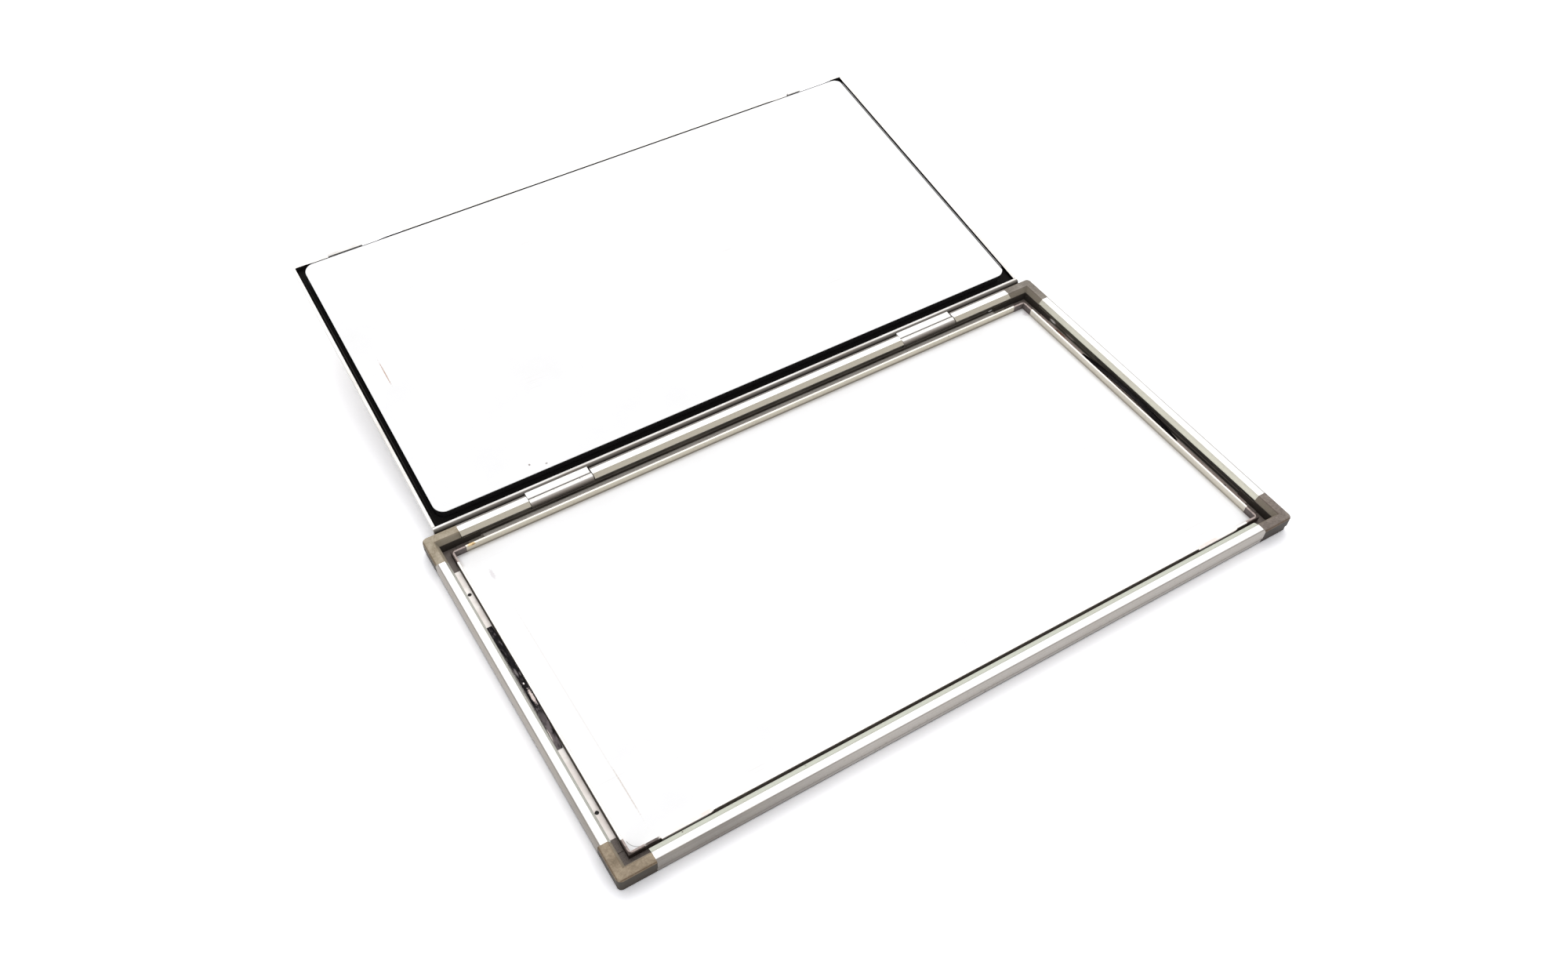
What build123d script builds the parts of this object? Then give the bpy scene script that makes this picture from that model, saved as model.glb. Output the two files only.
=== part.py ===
from build123d import *

import os

# X-ray film cassette for 15 x 30 cm panoramic film, shown open: a shallow frame of extruded
# rails and moulded corners that holds the front panel and its screen, and a hinged lid with
# a sprung foam pad, a second screen and two sliding latches.
#
# Millimetres, +Z up. Origin: centre of the frame's underside. X runs along the long rails,
# Y from the near (latch) rail to the hinge rail. A rail's section is drawn with x = distance
# inward from the rail's outer face and y = height. The lid is modelled open.

# ---------------------------------------------------------------- driving dimensions
FRAME_LENGTH = 320.0
FRAME_WIDTH = 173.5
FRAME_HEIGHT = 8.12
CORNER_LEG = 15.6  # length of a moulded corner along each rail
CORNER_RADIUS = 2.2
OPEN_ANGLE = 170.81  # how far the lid is open, from closed

# rail section
LOWER_INSET = 0.4  # the lower band stands back from the upper one
GROOVE_DEPTH = 0.8
GROOVE_BOTTOM = 2.8
GROOVE_TOP = 3.2
TOP_ROUND = 1.0
TOP_INNER = 4.15  # inner edge of the flat top
LONG_EAVE = (6.4, 7.03)  # lower edge of the inner chamfer on a long rail
SHORT_EAVE = (5.5, 6.0)
WALL_INNER = 4.9  # channel wall below the eave
CHANNEL_FLOOR = 1.4
LIP_OUTER = 8.85
LIP_INNER = 10.05
LIP_TOP = 4.13
LIP_ROUND = 0.25
FOOT_INNER = 10.3
FOOT_TOP = 1.25
REBATE_OUTER = 8.0  # the front panel sits in a rebate under the lip
PANEL_TOP = 0.9
CHAMBER = (1.5, 3.8, 1.2, 4.6)  # hollow of the rail: inner and outer u, low and high z

# front panel and screen
PANEL_GAP = 0.1
SCREEN_GAP = 0.1
SCREEN_THICKNESS = 0.25

# corner moulding
CORNER_WALL = 5.6
CORNER_CHAMFER_DROP = 2.6
TENON_LENGTH = 11.0
TENON_PLAY = 0.05
SHOULDER_END = 24.0  # block under the rail's eave, from the end of the frame
SHOULDER_TOP = 4.2
TONGUE_END = 18.0  # thin tongue on the channel floor
TONGUE_TOP = 1.65

# channel fittings
STRIP_START = 18.3
STRIP_INNER = (5.7, 8.65)
STRIP_THICKNESS = 0.3
STRIP_HOLE_RADIUS = 0.85
STRIP_HOLES = (-56.5, 55.3)
SPRING_CENTRE = 5.1
SPRING_LENGTH = 69.0
SPRING_FOOT = 3.0
SPRING_WIDTH = 2.3
SPRING_INNER = 6.2
SPRING_THICKNESS = 0.35
SPRING_TOP = 5.0
SEAL_START = 25.0
SEAL_HEIGHT = 0.5

# catches on the near lip
CATCH_SEAT = 3.6
CATCH_REACH = 0.8
CATCH_LENGTH = 18.2
CATCH_RAMP = 3.4
CATCH_STARTS = (22.0, 277.0)  # from the left end of the frame

# hinges
PIN_INSET = 3.1  # pin axis, inward from the hinge rail's outer face
PIN_HEIGHT = 6.2
PIN_RADIUS = 0.9
PIN_PLAY = 0.05
PIN_HOLD = 4.0  # length of pin held in the rail at each end
HINGE_STARTS = (47.7, 241.2)
HINGE_LENGTH = 30.6
HINGE_SWEEP = 3.35
HINGE_POCKET_FLOOR = 5.2
KNUCKLE_REACH = 3.15
KNUCKLE_RADIUS = 1.75
KNUCKLE_SHIFT = 0.3
KNUCKLE_LENGTH = 29.9
LEAF_LENGTH = 29.6
LEAF_SHIFT = 0.3
LEAF_TOP = 1.6
LEAF_THICKNESS = 0.75
SEAM = 0.3

# lid, measured from the pin axis: y along the lid, z up from its inner side
RIM_TOP = 1.8
LID_BACK = -1.85
LID_SKIN = 0.7
LID_LEFT = 6.4  # from the left end of the frame
LID_RIGHT = 314.2
HINGE_RIM_OUTER = 3.45
HINGE_RIM_INNER = 5.9
HINGE_RIM_ROUND = 1.6
RIM_GAP = 0.25
RIM = 1.25
RIM_FOLD = 0.45
LID_CLEAR = 156.7  # between the hinge rim and the free rim
PAD_LENGTH = 299.2
PAD_WIDTH = 150.4
PAD_RADIUS = 5.0
PAD_INSET = 0.4
SCREEN_FACE = 4.8
LID_SCREEN_THICKNESS = 0.35
BORDER_TOP = 0.3
BORDER_PLAY = 0.1

# latches
LATCH_TRAVEL = 20.5
SLIDE_PLAY = 0.05
SLIDE_THICKNESS = 0.5
SLIDE_DEPTH = 11.2
SLIDE_POCKET = 0.35
WEB_THICKNESS = 0.6
HOOK_REACH = 1.5
HOOK_TOP = 3.45
HOOK_THICKNESS = 0.6
NOTCH_PLAY = 0.4
GUIDE_RADIUS = 0.8
GUIDE_HEAD_RADIUS = 1.6
GUIDE_HEAD = 0.25
GUIDE_SLOT_WIDTH = 1.8
STEM_LENGTH = 6.0
STEM_WIDTH = 2.0
STEM_PLAY = 0.1
KNOB_LENGTH = 15.0
KNOB_WIDTH = 6.5
KNOB_HEIGHT = 1.5
KNOB_GAP = 0.05
KNOB_RIBS = 5
# one entry a latch: slide ends, hook ends, guide rivets and knob, as X in the frame
LATCHES = {
    "left": {"slide": (-140.0, -70.0), "hook": (-136.0, -119.3), "guides": (-112.0, -76.0), "knob": -104.2},
    "right": {"slide": (66.0, 128.0), "hook": (119.5, 127.0), "guides": (90.0, 124.0), "knob": 96.7},
}

HALF_LENGTH = FRAME_LENGTH / 2
HALF_WIDTH = FRAME_WIDTH / 2
LID_TILT = 180 - OPEN_ANGLE

os.makedirs("parts", exist_ok=True)


def save(part, name):
    """Label a finished piece and write it."""
    part.label = name
    export_step(part, f"parts/{name}.step")


# ---------------------------------------------------------------- planes of the four sides
# x inward, y up, z along the rail, starting at the middle of each side
SIDES = {
    "near": Plane((0, -HALF_WIDTH, 0), x_dir=(0, 1, 0), z_dir=(1, 0, 0)),
    "right": Plane((HALF_LENGTH, 0, 0), x_dir=(-1, 0, 0), z_dir=(0, 1, 0)),
    "hinge": Plane((0, HALF_WIDTH, 0), x_dir=(0, -1, 0), z_dir=(-1, 0, 0)),
    "left": Plane((-HALF_LENGTH, 0, 0), x_dir=(1, 0, 0), z_dir=(0, -1, 0)),
}
HALF_RAIL = {
    "near": HALF_LENGTH - CORNER_LEG,
    "hinge": HALF_LENGTH - CORNER_LEG,
    "left": HALF_WIDTH - CORNER_LEG,
    "right": HALF_WIDTH - CORNER_LEG,
}


def rail_section(eave):
    """The extruded light-trap section: outer wall, eave, channel, lip and panel rebate."""
    eave_u, eave_z = eave
    u0, u1, z0, z1 = CHAMBER
    with BuildSketch() as section:
        with BuildLine():
            Polyline(
                (TOP_ROUND, FRAME_HEIGHT),
                (TOP_INNER, FRAME_HEIGHT),
                (eave_u, eave_z),
                (eave_u, eave_z - 0.6),
                (WALL_INNER + 0.2, eave_z - 1.4),
                (WALL_INNER, eave_z - 1.7),
                (WALL_INNER, CHANNEL_FLOOR),
                (LIP_OUTER, CHANNEL_FLOOR),
                (LIP_OUTER, LIP_TOP - LIP_ROUND),
                (LIP_OUTER + LIP_ROUND, LIP_TOP),
                (LIP_INNER - LIP_ROUND, LIP_TOP),
                (LIP_INNER, LIP_TOP - LIP_ROUND),
                (LIP_INNER, FOOT_TOP),
                (FOOT_INNER, PANEL_TOP),
                (REBATE_OUTER, PANEL_TOP),
                (REBATE_OUTER, 0),
                (LOWER_INSET, 0),
                (LOWER_INSET, GROOVE_BOTTOM),
                (GROOVE_DEPTH, GROOVE_BOTTOM),
                (GROOVE_DEPTH, GROOVE_TOP),
                (0, GROOVE_TOP),
                (0, FRAME_HEIGHT - TOP_ROUND),
            )
            RadiusArc((0, FRAME_HEIGHT - TOP_ROUND), (TOP_ROUND, FRAME_HEIGHT), TOP_ROUND)
        make_face()
        with BuildSketch(mode=Mode.SUBTRACT):
            with Locations(((u0 + u1) / 2, (z0 + z1) / 2)):
                Rectangle(u1 - u0, z1 - z0)
    return section.sketch


long_section = rail_section(LONG_EAVE)
short_section = rail_section(SHORT_EAVE)

# ---------------------------------------------------------------- rails
for side in ("left", "right"):
    with BuildPart() as rail:
        with BuildSketch(SIDES[side]):
            add(short_section)
        extrude(amount=HALF_RAIL[side], both=True)
    save(rail.part, f"rail_{side}")

with BuildPart() as rail_near:
    with BuildSketch(SIDES["near"]):
        add(long_section)
    extrude(amount=HALF_RAIL["near"], both=True)
    # seats for the catches in the top of the lip
    for start in CATCH_STARTS:
        middle = start + (CATCH_LENGTH + CATCH_RAMP) / 2 - HALF_LENGTH
        with BuildSketch(Plane.XY.offset(CATCH_SEAT)):
            with Locations((middle, LIP_OUTER / 2 + LIP_INNER / 2 - HALF_WIDTH)):
                Rectangle(CATCH_LENGTH + CATCH_RAMP, LIP_INNER - LIP_OUTER + 1.0)
        extrude(amount=1.0, mode=Mode.SUBTRACT)
save(rail_near.part, "rail_near")

PIN_Y = HALF_WIDTH - PIN_INSET
pin_line = Plane((0, PIN_Y, PIN_HEIGHT), x_dir=(0, -1, 0), z_dir=(-1, 0, 0))
with BuildPart() as rail_hinge:
    with BuildSketch(SIDES["hinge"]):
        add(long_section)
    extrude(amount=HALF_RAIL["hinge"], both=True)
    for start in HINGE_STARTS:
        middle = start + HINGE_LENGTH / 2 - HALF_LENGTH
        # window for the hinge: open above, and round below where the knuckle swings
        with BuildSketch(SIDES["hinge"].offset(-middle)):
            with Locations((LONG_EAVE[0] / 2, HINGE_POCKET_FLOOR + 2.0)):
                Rectangle(LONG_EAVE[0] + 2.0, 4.0)
        extrude(amount=HINGE_LENGTH / 2, both=True, mode=Mode.SUBTRACT)
        with BuildSketch(pin_line.offset(-middle)):
            Circle(HINGE_SWEEP)
        extrude(amount=HINGE_LENGTH / 2, both=True, mode=Mode.SUBTRACT)
        # bores that hold the pin's ends
        with BuildSketch(pin_line.offset(-middle)):
            Circle(PIN_RADIUS + 0.01)
        extrude(amount=HINGE_LENGTH / 2 + PIN_HOLD + 0.2, both=True, mode=Mode.SUBTRACT)
save(rail_hinge.part, "rail_hinge")

# ---------------------------------------------------------------- moulded corners
CORNERS = {
    "near_left": Plane((-HALF_LENGTH, -HALF_WIDTH, 0), x_dir=(1, 0, 0), z_dir=(0, 0, 1)),
    "near_right": Plane((HALF_LENGTH, -HALF_WIDTH, 0), x_dir=(0, 1, 0), z_dir=(0, 0, 1)),
    "hinge_right": Plane((HALF_LENGTH, HALF_WIDTH, 0), x_dir=(-1, 0, 0), z_dir=(0, 0, 1)),
    "hinge_left": Plane((-HALF_LENGTH, HALF_WIDTH, 0), x_dir=(0, -1, 0), z_dir=(0, 0, 1)),
}


def ell(outer, inner, end, radius=0.0, start=None):
    """An L in plan along both legs, between two insets, with a rounded outer corner."""
    with BuildSketch() as plan:
        with BuildLine():
            Polyline(
                (outer, outer), (end, outer), (end, inner), (inner, inner), (inner, end), (outer, end),
                close=True,
            )
        make_face()
        if start is not None:
            Rectangle(start, start, align=(Align.MIN, Align.MIN), mode=Mode.SUBTRACT)
        if radius:
            fillet(plan.vertices().sort_by_distance((outer, outer))[0], radius)
    return plan.sketch


lower_band = ell(LOWER_INSET, REBATE_OUTER, CORNER_LEG, CORNER_RADIUS - LOWER_INSET)
floor_band = ell(LOWER_INSET, FOOT_INNER, CORNER_LEG, CORNER_RADIUS - LOWER_INSET)
foot_band = ell(LOWER_INSET, LIP_INNER, CORNER_LEG, CORNER_RADIUS - LOWER_INSET)
wall_low = ell(LOWER_INSET, CORNER_WALL, CORNER_LEG, CORNER_RADIUS - LOWER_INSET)
wall_groove = ell(GROOVE_DEPTH, CORNER_WALL, CORNER_LEG, CORNER_RADIUS - GROOVE_DEPTH)
wall_high = ell(0, CORNER_WALL, CORNER_LEG, CORNER_RADIUS)
lip_band = ell(LIP_OUTER, LIP_INNER, CORNER_LEG)
chamber_u0, chamber_u1, chamber_z0, chamber_z1 = CHAMBER
tenon_plan = ell(
    chamber_u0 + TENON_PLAY, chamber_u1 - TENON_PLAY, CORNER_LEG + TENON_LENGTH, start=CORNER_LEG - 1.0
)
shoulder_plan = ell(WALL_INNER + TENON_PLAY, CORNER_WALL, SHOULDER_END, start=CORNER_LEG - 1.0)
tongue_plan = ell(STRIP_INNER[0], STRIP_INNER[1], TONGUE_END, start=CORNER_LEG - 3.0)

for place, base in CORNERS.items():
    with BuildPart() as corner:
        with BuildSketch(base):
            add(lower_band)
        extrude(amount=PANEL_TOP)
        with BuildSketch(base.offset(PANEL_TOP)):
            add(floor_band)
        extrude(amount=FOOT_TOP - PANEL_TOP)
        with BuildSketch(base.offset(FOOT_TOP)):
            add(foot_band)
        extrude(amount=CHANNEL_FLOOR - FOOT_TOP)
        with BuildSketch(base.offset(CHANNEL_FLOOR)):
            add(wall_low)
        extrude(amount=GROOVE_BOTTOM - CHANNEL_FLOOR)
        with BuildSketch(base.offset(GROOVE_BOTTOM)):
            add(wall_groove)
        extrude(amount=GROOVE_TOP - GROOVE_BOTTOM)
        with BuildSketch(base.offset(GROOVE_TOP)):
            add(wall_high)
        extrude(amount=FRAME_HEIGHT - GROOVE_TOP)
        top = corner.faces().filter_by(Axis.Z).sort_by(Axis.Z)[-1]
        inner_corner = base.from_local_coords((CORNER_WALL, CORNER_WALL, FRAME_HEIGHT))
        outer_corner = base.from_local_coords((0, 0, FRAME_HEIGHT))
        inner_edges = top.edges().filter_by(GeomType.LINE).sort_by_distance(inner_corner)[0:2]
        chamfer(inner_edges, length=CORNER_WALL - TOP_INNER, length2=CORNER_CHAMFER_DROP, reference=top)
        top = corner.faces().filter_by(Axis.Z).sort_by(Axis.Z)[-1]
        outer_edges = top.edges().sort_by_distance(outer_corner)[0:3]
        fillet(outer_edges, TOP_ROUND)
        with BuildSketch(base.offset(CHANNEL_FLOOR)):
            add(lip_band)
        extrude(amount=LIP_TOP - CHANNEL_FLOOR)
        with BuildSketch(base.offset(chamber_z0 + TENON_PLAY)):
            add(tenon_plan)
        extrude(amount=chamber_z1 - chamber_z0 - 2 * TENON_PLAY)
        with BuildSketch(base.offset(CHANNEL_FLOOR)):
            add(shoulder_plan)
        extrude(amount=SHOULDER_TOP - CHANNEL_FLOOR)
        with BuildSketch(base.offset(CHANNEL_FLOOR)):
            add(tongue_plan)
        extrude(amount=TONGUE_TOP - CHANNEL_FLOOR)
    save(corner.part, f"corner_{place}")

# ---------------------------------------------------------------- front panel and its screen
with BuildPart() as front_panel:
    with BuildSketch(Plane.XY):
        edge = REBATE_OUTER + PANEL_GAP
        Rectangle(FRAME_LENGTH - 2 * edge, FRAME_WIDTH - 2 * edge)
    extrude(amount=PANEL_TOP)
save(front_panel.part, "front_panel")

with BuildPart() as front_screen:
    with BuildSketch(Plane.XY.offset(PANEL_TOP)):
        edge = FOOT_INNER + SCREEN_GAP
        Rectangle(FRAME_LENGTH - 2 * edge, FRAME_WIDTH - 2 * edge)
    extrude(amount=SCREEN_THICKNESS)
save(front_screen.part, "front_screen")

# ---------------------------------------------------------------- springs and their strips
SPRING_SEAT = CHANNEL_FLOOR + STRIP_THICKNESS
for side, sign in (("left", 1), ("right", -1)):
    with BuildPart() as strip:
        with BuildSketch(Plane.XY.offset(CHANNEL_FLOOR)):
            with Locations((sign * (STRIP_INNER[0] / 2 + STRIP_INNER[1] / 2 - HALF_LENGTH), 0)):
                Rectangle(STRIP_INNER[1] - STRIP_INNER[0], FRAME_WIDTH - 2 * STRIP_START)
            for hole_y in STRIP_HOLES:
                with Locations((sign * (STRIP_INNER[0] / 2 + STRIP_INNER[1] / 2 - HALF_LENGTH), hole_y)):
                    Circle(STRIP_HOLE_RADIUS, mode=Mode.SUBTRACT)
        extrude(amount=STRIP_THICKNESS)
    save(strip.part, f"spring_strip_{side}")

    # bowed leaf with two flat feet on the strip
    middle_x = sign * (SPRING_INNER + SPRING_WIDTH / 2 - HALF_LENGTH)
    with BuildPart() as spring:
        with BuildSketch(Plane((middle_x, SPRING_CENTRE, SPRING_SEAT), x_dir=(0, 1, 0), z_dir=(1, 0, 0))):
            with BuildLine():
                half = SPRING_LENGTH / 2
                rise = SPRING_TOP - SPRING_SEAT - SPRING_THICKNESS
                knee = half - SPRING_FOOT
                Line((-half, 0), (-knee, 0))
                ThreePointArc((-knee, 0), (0, rise), (knee, 0))
                Line((knee, 0), (half, 0))
                Line((half, 0), (half, SPRING_THICKNESS))
                Line((half, SPRING_THICKNESS), (knee, SPRING_THICKNESS))
                ThreePointArc((knee, SPRING_THICKNESS), (0, rise + SPRING_THICKNESS), (-knee, SPRING_THICKNESS))
                Line((-knee, SPRING_THICKNESS), (-half, SPRING_THICKNESS))
                Line((-half, SPRING_THICKNESS), (-half, 0))
            make_face()
        extrude(amount=SPRING_WIDTH / 2, both=True)
    save(spring.part, f"leaf_spring_{side}")

# ---------------------------------------------------------------- channel seals of the long rails
for side, sign in (("near", 1), ("hinge", -1)):
    with BuildPart() as seal:
        with BuildSketch(Plane.XY.offset(CHANNEL_FLOOR)):
            with Locations((0, sign * (STRIP_INNER[0] / 2 + STRIP_INNER[1] / 2 - HALF_WIDTH))):
                Rectangle(FRAME_LENGTH - 2 * SEAL_START, STRIP_INNER[1] - STRIP_INNER[0])
        extrude(amount=SEAL_HEIGHT)
    save(seal.part, f"channel_seal_{side}")

# ---------------------------------------------------------------- catches
for place, start in zip(("left", "right"), CATCH_STARTS):
    with BuildPart() as catch:
        with BuildSketch(Plane.XY.offset(CATCH_SEAT)):
            with BuildLine():
                left = start - HALF_LENGTH
                front = LIP_OUTER - CATCH_REACH - HALF_WIDTH
                Polyline(
                    (left, front),
                    (left + CATCH_LENGTH, front),
                    (left + CATCH_LENGTH + CATCH_RAMP, LIP_OUTER - HALF_WIDTH),
                    (left + CATCH_LENGTH + CATCH_RAMP, LIP_INNER - HALF_WIDTH),
                    (left, LIP_INNER - HALF_WIDTH),
                    close=True,
                )
            make_face()
        extrude(amount=LIP_TOP - CATCH_SEAT)
    save(catch.part, f"catch_{place}")

# ---------------------------------------------------------------- hinge pins
for place, start in zip(("left", "right"), HINGE_STARTS):
    middle = start + HINGE_LENGTH / 2 - HALF_LENGTH
    with BuildPart() as pin:
        with BuildSketch(pin_line.offset(-middle)):
            Circle(PIN_RADIUS)
        extrude(amount=HINGE_LENGTH / 2 + PIN_HOLD, both=True)
    save(pin.part, f"hinge_pin_{place}")

# ---------------------------------------------------------------- lid frame of reference
# x as in the frame, y away from the pin along the lid, z out of its inner side
lid_plane = Plane((0, PIN_Y, PIN_HEIGHT), x_dir=(1, 0, 0), z_dir=(0, 0, 1)).rotated((LID_TILT, 0, 0))
# for sections across the lid: x away from the pin, y out of the inner side
lid_section = Plane(lid_plane.origin, x_dir=lid_plane.y_dir, z_dir=lid_plane.x_dir)

lid_along = Axis(lid_plane.origin, lid_plane.y_dir)
lid_up = Axis(lid_plane.origin, lid_plane.z_dir)

LID_X0 = LID_LEFT - HALF_LENGTH
LID_X1 = LID_RIGHT - HALF_LENGTH
SKIN_TOP = LID_BACK + LID_SKIN
FREE_INNER = HINGE_RIM_INNER + LID_CLEAR
FREE_OUTER = FREE_INNER + RIM
PAD_Y = HINGE_RIM_INNER + LID_CLEAR / 2
SLIDE_BACK = SKIN_TOP + SLIDE_PLAY
WEB_INNER = FREE_INNER
WEB_OUTER = WEB_INNER + WEB_THICKNESS
SLIDE_Y0 = WEB_OUTER - SLIDE_DEPTH
KNOB_Y = SLIDE_Y0 + SLIDE_DEPTH / 2 - 0.8
SLIDE_ROOM = SLIDE_THICKNESS + GUIDE_HEAD + 3 * SLIDE_PLAY


def box_between(x_range, y_range):
    """A rectangle in plan between two pairs of values."""
    with BuildSketch() as plan:
        with Locations(((x_range[0] + x_range[1]) / 2, (y_range[0] + y_range[1]) / 2)):
            Rectangle(x_range[1] - x_range[0], y_range[1] - y_range[0])
    return plan.sketch


with BuildPart() as lid_panel:
    with BuildSketch(lid_plane.offset(LID_BACK)):
        add(box_between((LID_X0, LID_X1), (HINGE_RIM_INNER + RIM_GAP, FREE_OUTER)))
    extrude(amount=RIM_TOP - LID_BACK)
    with BuildSketch(lid_plane.offset(SKIN_TOP)):
        add(box_between((LID_X0 + RIM, LID_X1 - RIM), (HINGE_RIM_INNER, FREE_INNER)))
    extrude(amount=RIM_TOP - SKIN_TOP, mode=Mode.SUBTRACT)
    # folded edge along the three rims
    back = lid_panel.faces().sort_by(lid_up)[0]
    fillet(back.edges().sort_by(lid_along)[1:], RIM_FOLD)
    # notches in the free rim for the hooks, and slots in the skin for the knobs
    for latch in LATCHES.values():
        hook_start, hook_end = latch["hook"]
        with BuildSketch(lid_plane.offset(SKIN_TOP)):
            add(box_between(
                (hook_start - NOTCH_PLAY, hook_end + LATCH_TRAVEL + NOTCH_PLAY),
                (FREE_INNER - 0.5, FREE_OUTER + 0.5),
            ))
        extrude(amount=RIM_TOP - SKIN_TOP + 0.5, mode=Mode.SUBTRACT)
        with BuildSketch(lid_plane.offset(LID_BACK)):
            with Locations((latch["knob"] + LATCH_TRAVEL / 2, KNOB_Y)):
                Rectangle(STEM_LENGTH + LATCH_TRAVEL + 2 * STEM_PLAY, STEM_WIDTH + 2 * STEM_PLAY)
        extrude(amount=LID_SKIN, mode=Mode.SUBTRACT)
save(lid_panel.part, "lid_panel")

# ---------------------------------------------------------------- lid's hinge rim
LEAF_END = HINGE_RIM_OUTER + 0.45
with BuildPart() as lid_hinge_rim:
    with BuildSketch(lid_section.offset(LID_X0)):
        with BuildLine():
            Polyline(
                (HINGE_RIM_OUTER + HINGE_RIM_ROUND, RIM_TOP),
                (HINGE_RIM_INNER, RIM_TOP),
                (HINGE_RIM_INNER, LID_BACK),
                (HINGE_RIM_OUTER, LID_BACK),
                (HINGE_RIM_OUTER, RIM_TOP - HINGE_RIM_ROUND),
            )
            RadiusArc(
                (HINGE_RIM_OUTER, RIM_TOP - HINGE_RIM_ROUND),
                (HINGE_RIM_OUTER + HINGE_RIM_ROUND, RIM_TOP),
                HINGE_RIM_ROUND,
            )
        make_face()
    extrude(amount=LID_X1 - LID_X0)
    # rebates that take the hinge leaves
    for start in HINGE_STARTS:
        leaf_x = start + LEAF_SHIFT - HALF_LENGTH
        with BuildSketch(lid_plane.offset(LEAF_TOP - LEAF_THICKNESS)):
            add(box_between((leaf_x, leaf_x + LEAF_LENGTH), (HINGE_RIM_OUTER - 0.5, LEAF_END)))
        extrude(amount=LEAF_THICKNESS + 1.0, mode=Mode.SUBTRACT)
save(lid_hinge_rim.part, "lid_hinge_rim")

# ---------------------------------------------------------------- border, pad and screen of the lid
with BuildPart() as lid_border:
    with BuildSketch(lid_plane.offset(SKIN_TOP)):
        add(box_between(
            (LID_X0 + RIM + BORDER_PLAY, LID_X1 - RIM - BORDER_PLAY),
            (HINGE_RIM_INNER + BORDER_PLAY, FREE_INNER - BORDER_PLAY),
        ))
        with Locations((0, PAD_Y)):
            RectangleRounded(
                PAD_LENGTH + 2 * BORDER_PLAY, PAD_WIDTH + 2 * BORDER_PLAY, PAD_RADIUS, mode=Mode.SUBTRACT
            )
    extrude(amount=BORDER_TOP - SKIN_TOP)
    # room below the border for the latch slides
    with BuildSketch(lid_plane.offset(SKIN_TOP)):
        add(box_between((LID_X0, LID_X1), (SLIDE_Y0 - SLIDE_POCKET, FREE_OUTER)))
    extrude(amount=SLIDE_ROOM, mode=Mode.SUBTRACT)
save(lid_border.part, "lid_border")

with BuildPart() as lid_pad:
    with BuildSketch(lid_plane.offset(SKIN_TOP)):
        with Locations((0, PAD_Y)):
            RectangleRounded(PAD_LENGTH - 2 * PAD_INSET, PAD_WIDTH - 2 * PAD_INSET, PAD_RADIUS - PAD_INSET)
    extrude(amount=SCREEN_FACE - LID_SCREEN_THICKNESS - SKIN_TOP)
    # hollow under the pad's free side, where the slides run
    with BuildSketch(lid_plane.offset(SKIN_TOP)):
        add(box_between((LID_X0, LID_X1), (SLIDE_Y0 - SLIDE_POCKET, FREE_OUTER)))
    extrude(amount=SLIDE_ROOM + SLIDE_POCKET, mode=Mode.SUBTRACT)
save(lid_pad.part, "lid_pad")

with BuildPart() as lid_screen:
    with BuildSketch(lid_plane.offset(SCREEN_FACE - LID_SCREEN_THICKNESS)):
        with Locations((0, PAD_Y)):
            RectangleRounded(PAD_LENGTH, PAD_WIDTH, PAD_RADIUS)
    extrude(amount=LID_SCREEN_THICKNESS)
save(lid_screen.part, "lid_screen")

# ---------------------------------------------------------------- hinge leaves and knuckles
for place, start in zip(("left", "right"), HINGE_STARTS):
    leaf_x = start + LEAF_SHIFT - HALF_LENGTH
    knuckle_x = start + KNUCKLE_SHIFT - HALF_LENGTH
    with BuildPart() as leaf:
        with BuildSketch(lid_section.offset(leaf_x)):
            add(box_between((SEAM, LEAF_END), (LEAF_TOP - LEAF_THICKNESS, LEAF_TOP)))
        extrude(amount=LEAF_LENGTH)
        seam_edge = leaf.edges().filter_by(Axis.X).sort_by(lid_up)[-2:].sort_by(lid_along)[0]
        fillet(seam_edge, 0.3)
    save(leaf.part, f"hinge_leaf_{place}")

    # knuckle bar: round nose towards the frame's inside, bored for the pin, with a step
    # that carries the leaf
    nose_length = KNUCKLE_REACH + KNUCKLE_RADIUS
    with BuildPart() as knuckle:
        with BuildSketch(lid_section.offset(knuckle_x)) as section:
            with Locations((KNUCKLE_RADIUS - nose_length / 2, 0)):
                SlotOverall(nose_length, 2 * KNUCKLE_RADIUS)
            add(box_between((0, 2 * KNUCKLE_RADIUS), (LEAF_TOP - LEAF_THICKNESS, 2.0)), mode=Mode.SUBTRACT)
            Circle(PIN_RADIUS + PIN_PLAY, mode=Mode.SUBTRACT)
        extrude(amount=KNUCKLE_LENGTH)
    save(knuckle.part, f"hinge_knuckle_{place}")

# ---------------------------------------------------------------- latches
SLIDE_TOP = SLIDE_BACK + SLIDE_THICKNESS
with BuildPart() as latch_guides:
    for latch in LATCHES.values():
        for guide_x in latch["guides"]:
            with BuildSketch(lid_plane.offset(SKIN_TOP)):
                with Locations((guide_x, KNOB_Y)):
                    Circle(GUIDE_RADIUS)
            extrude(amount=SLIDE_TOP + SLIDE_PLAY - SKIN_TOP)
            with BuildSketch(lid_plane.offset(SLIDE_TOP + SLIDE_PLAY)):
                with Locations((guide_x, KNOB_Y)):
                    Circle(GUIDE_HEAD_RADIUS)
            extrude(amount=GUIDE_HEAD)
save(latch_guides.part, "latch_guides")

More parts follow.
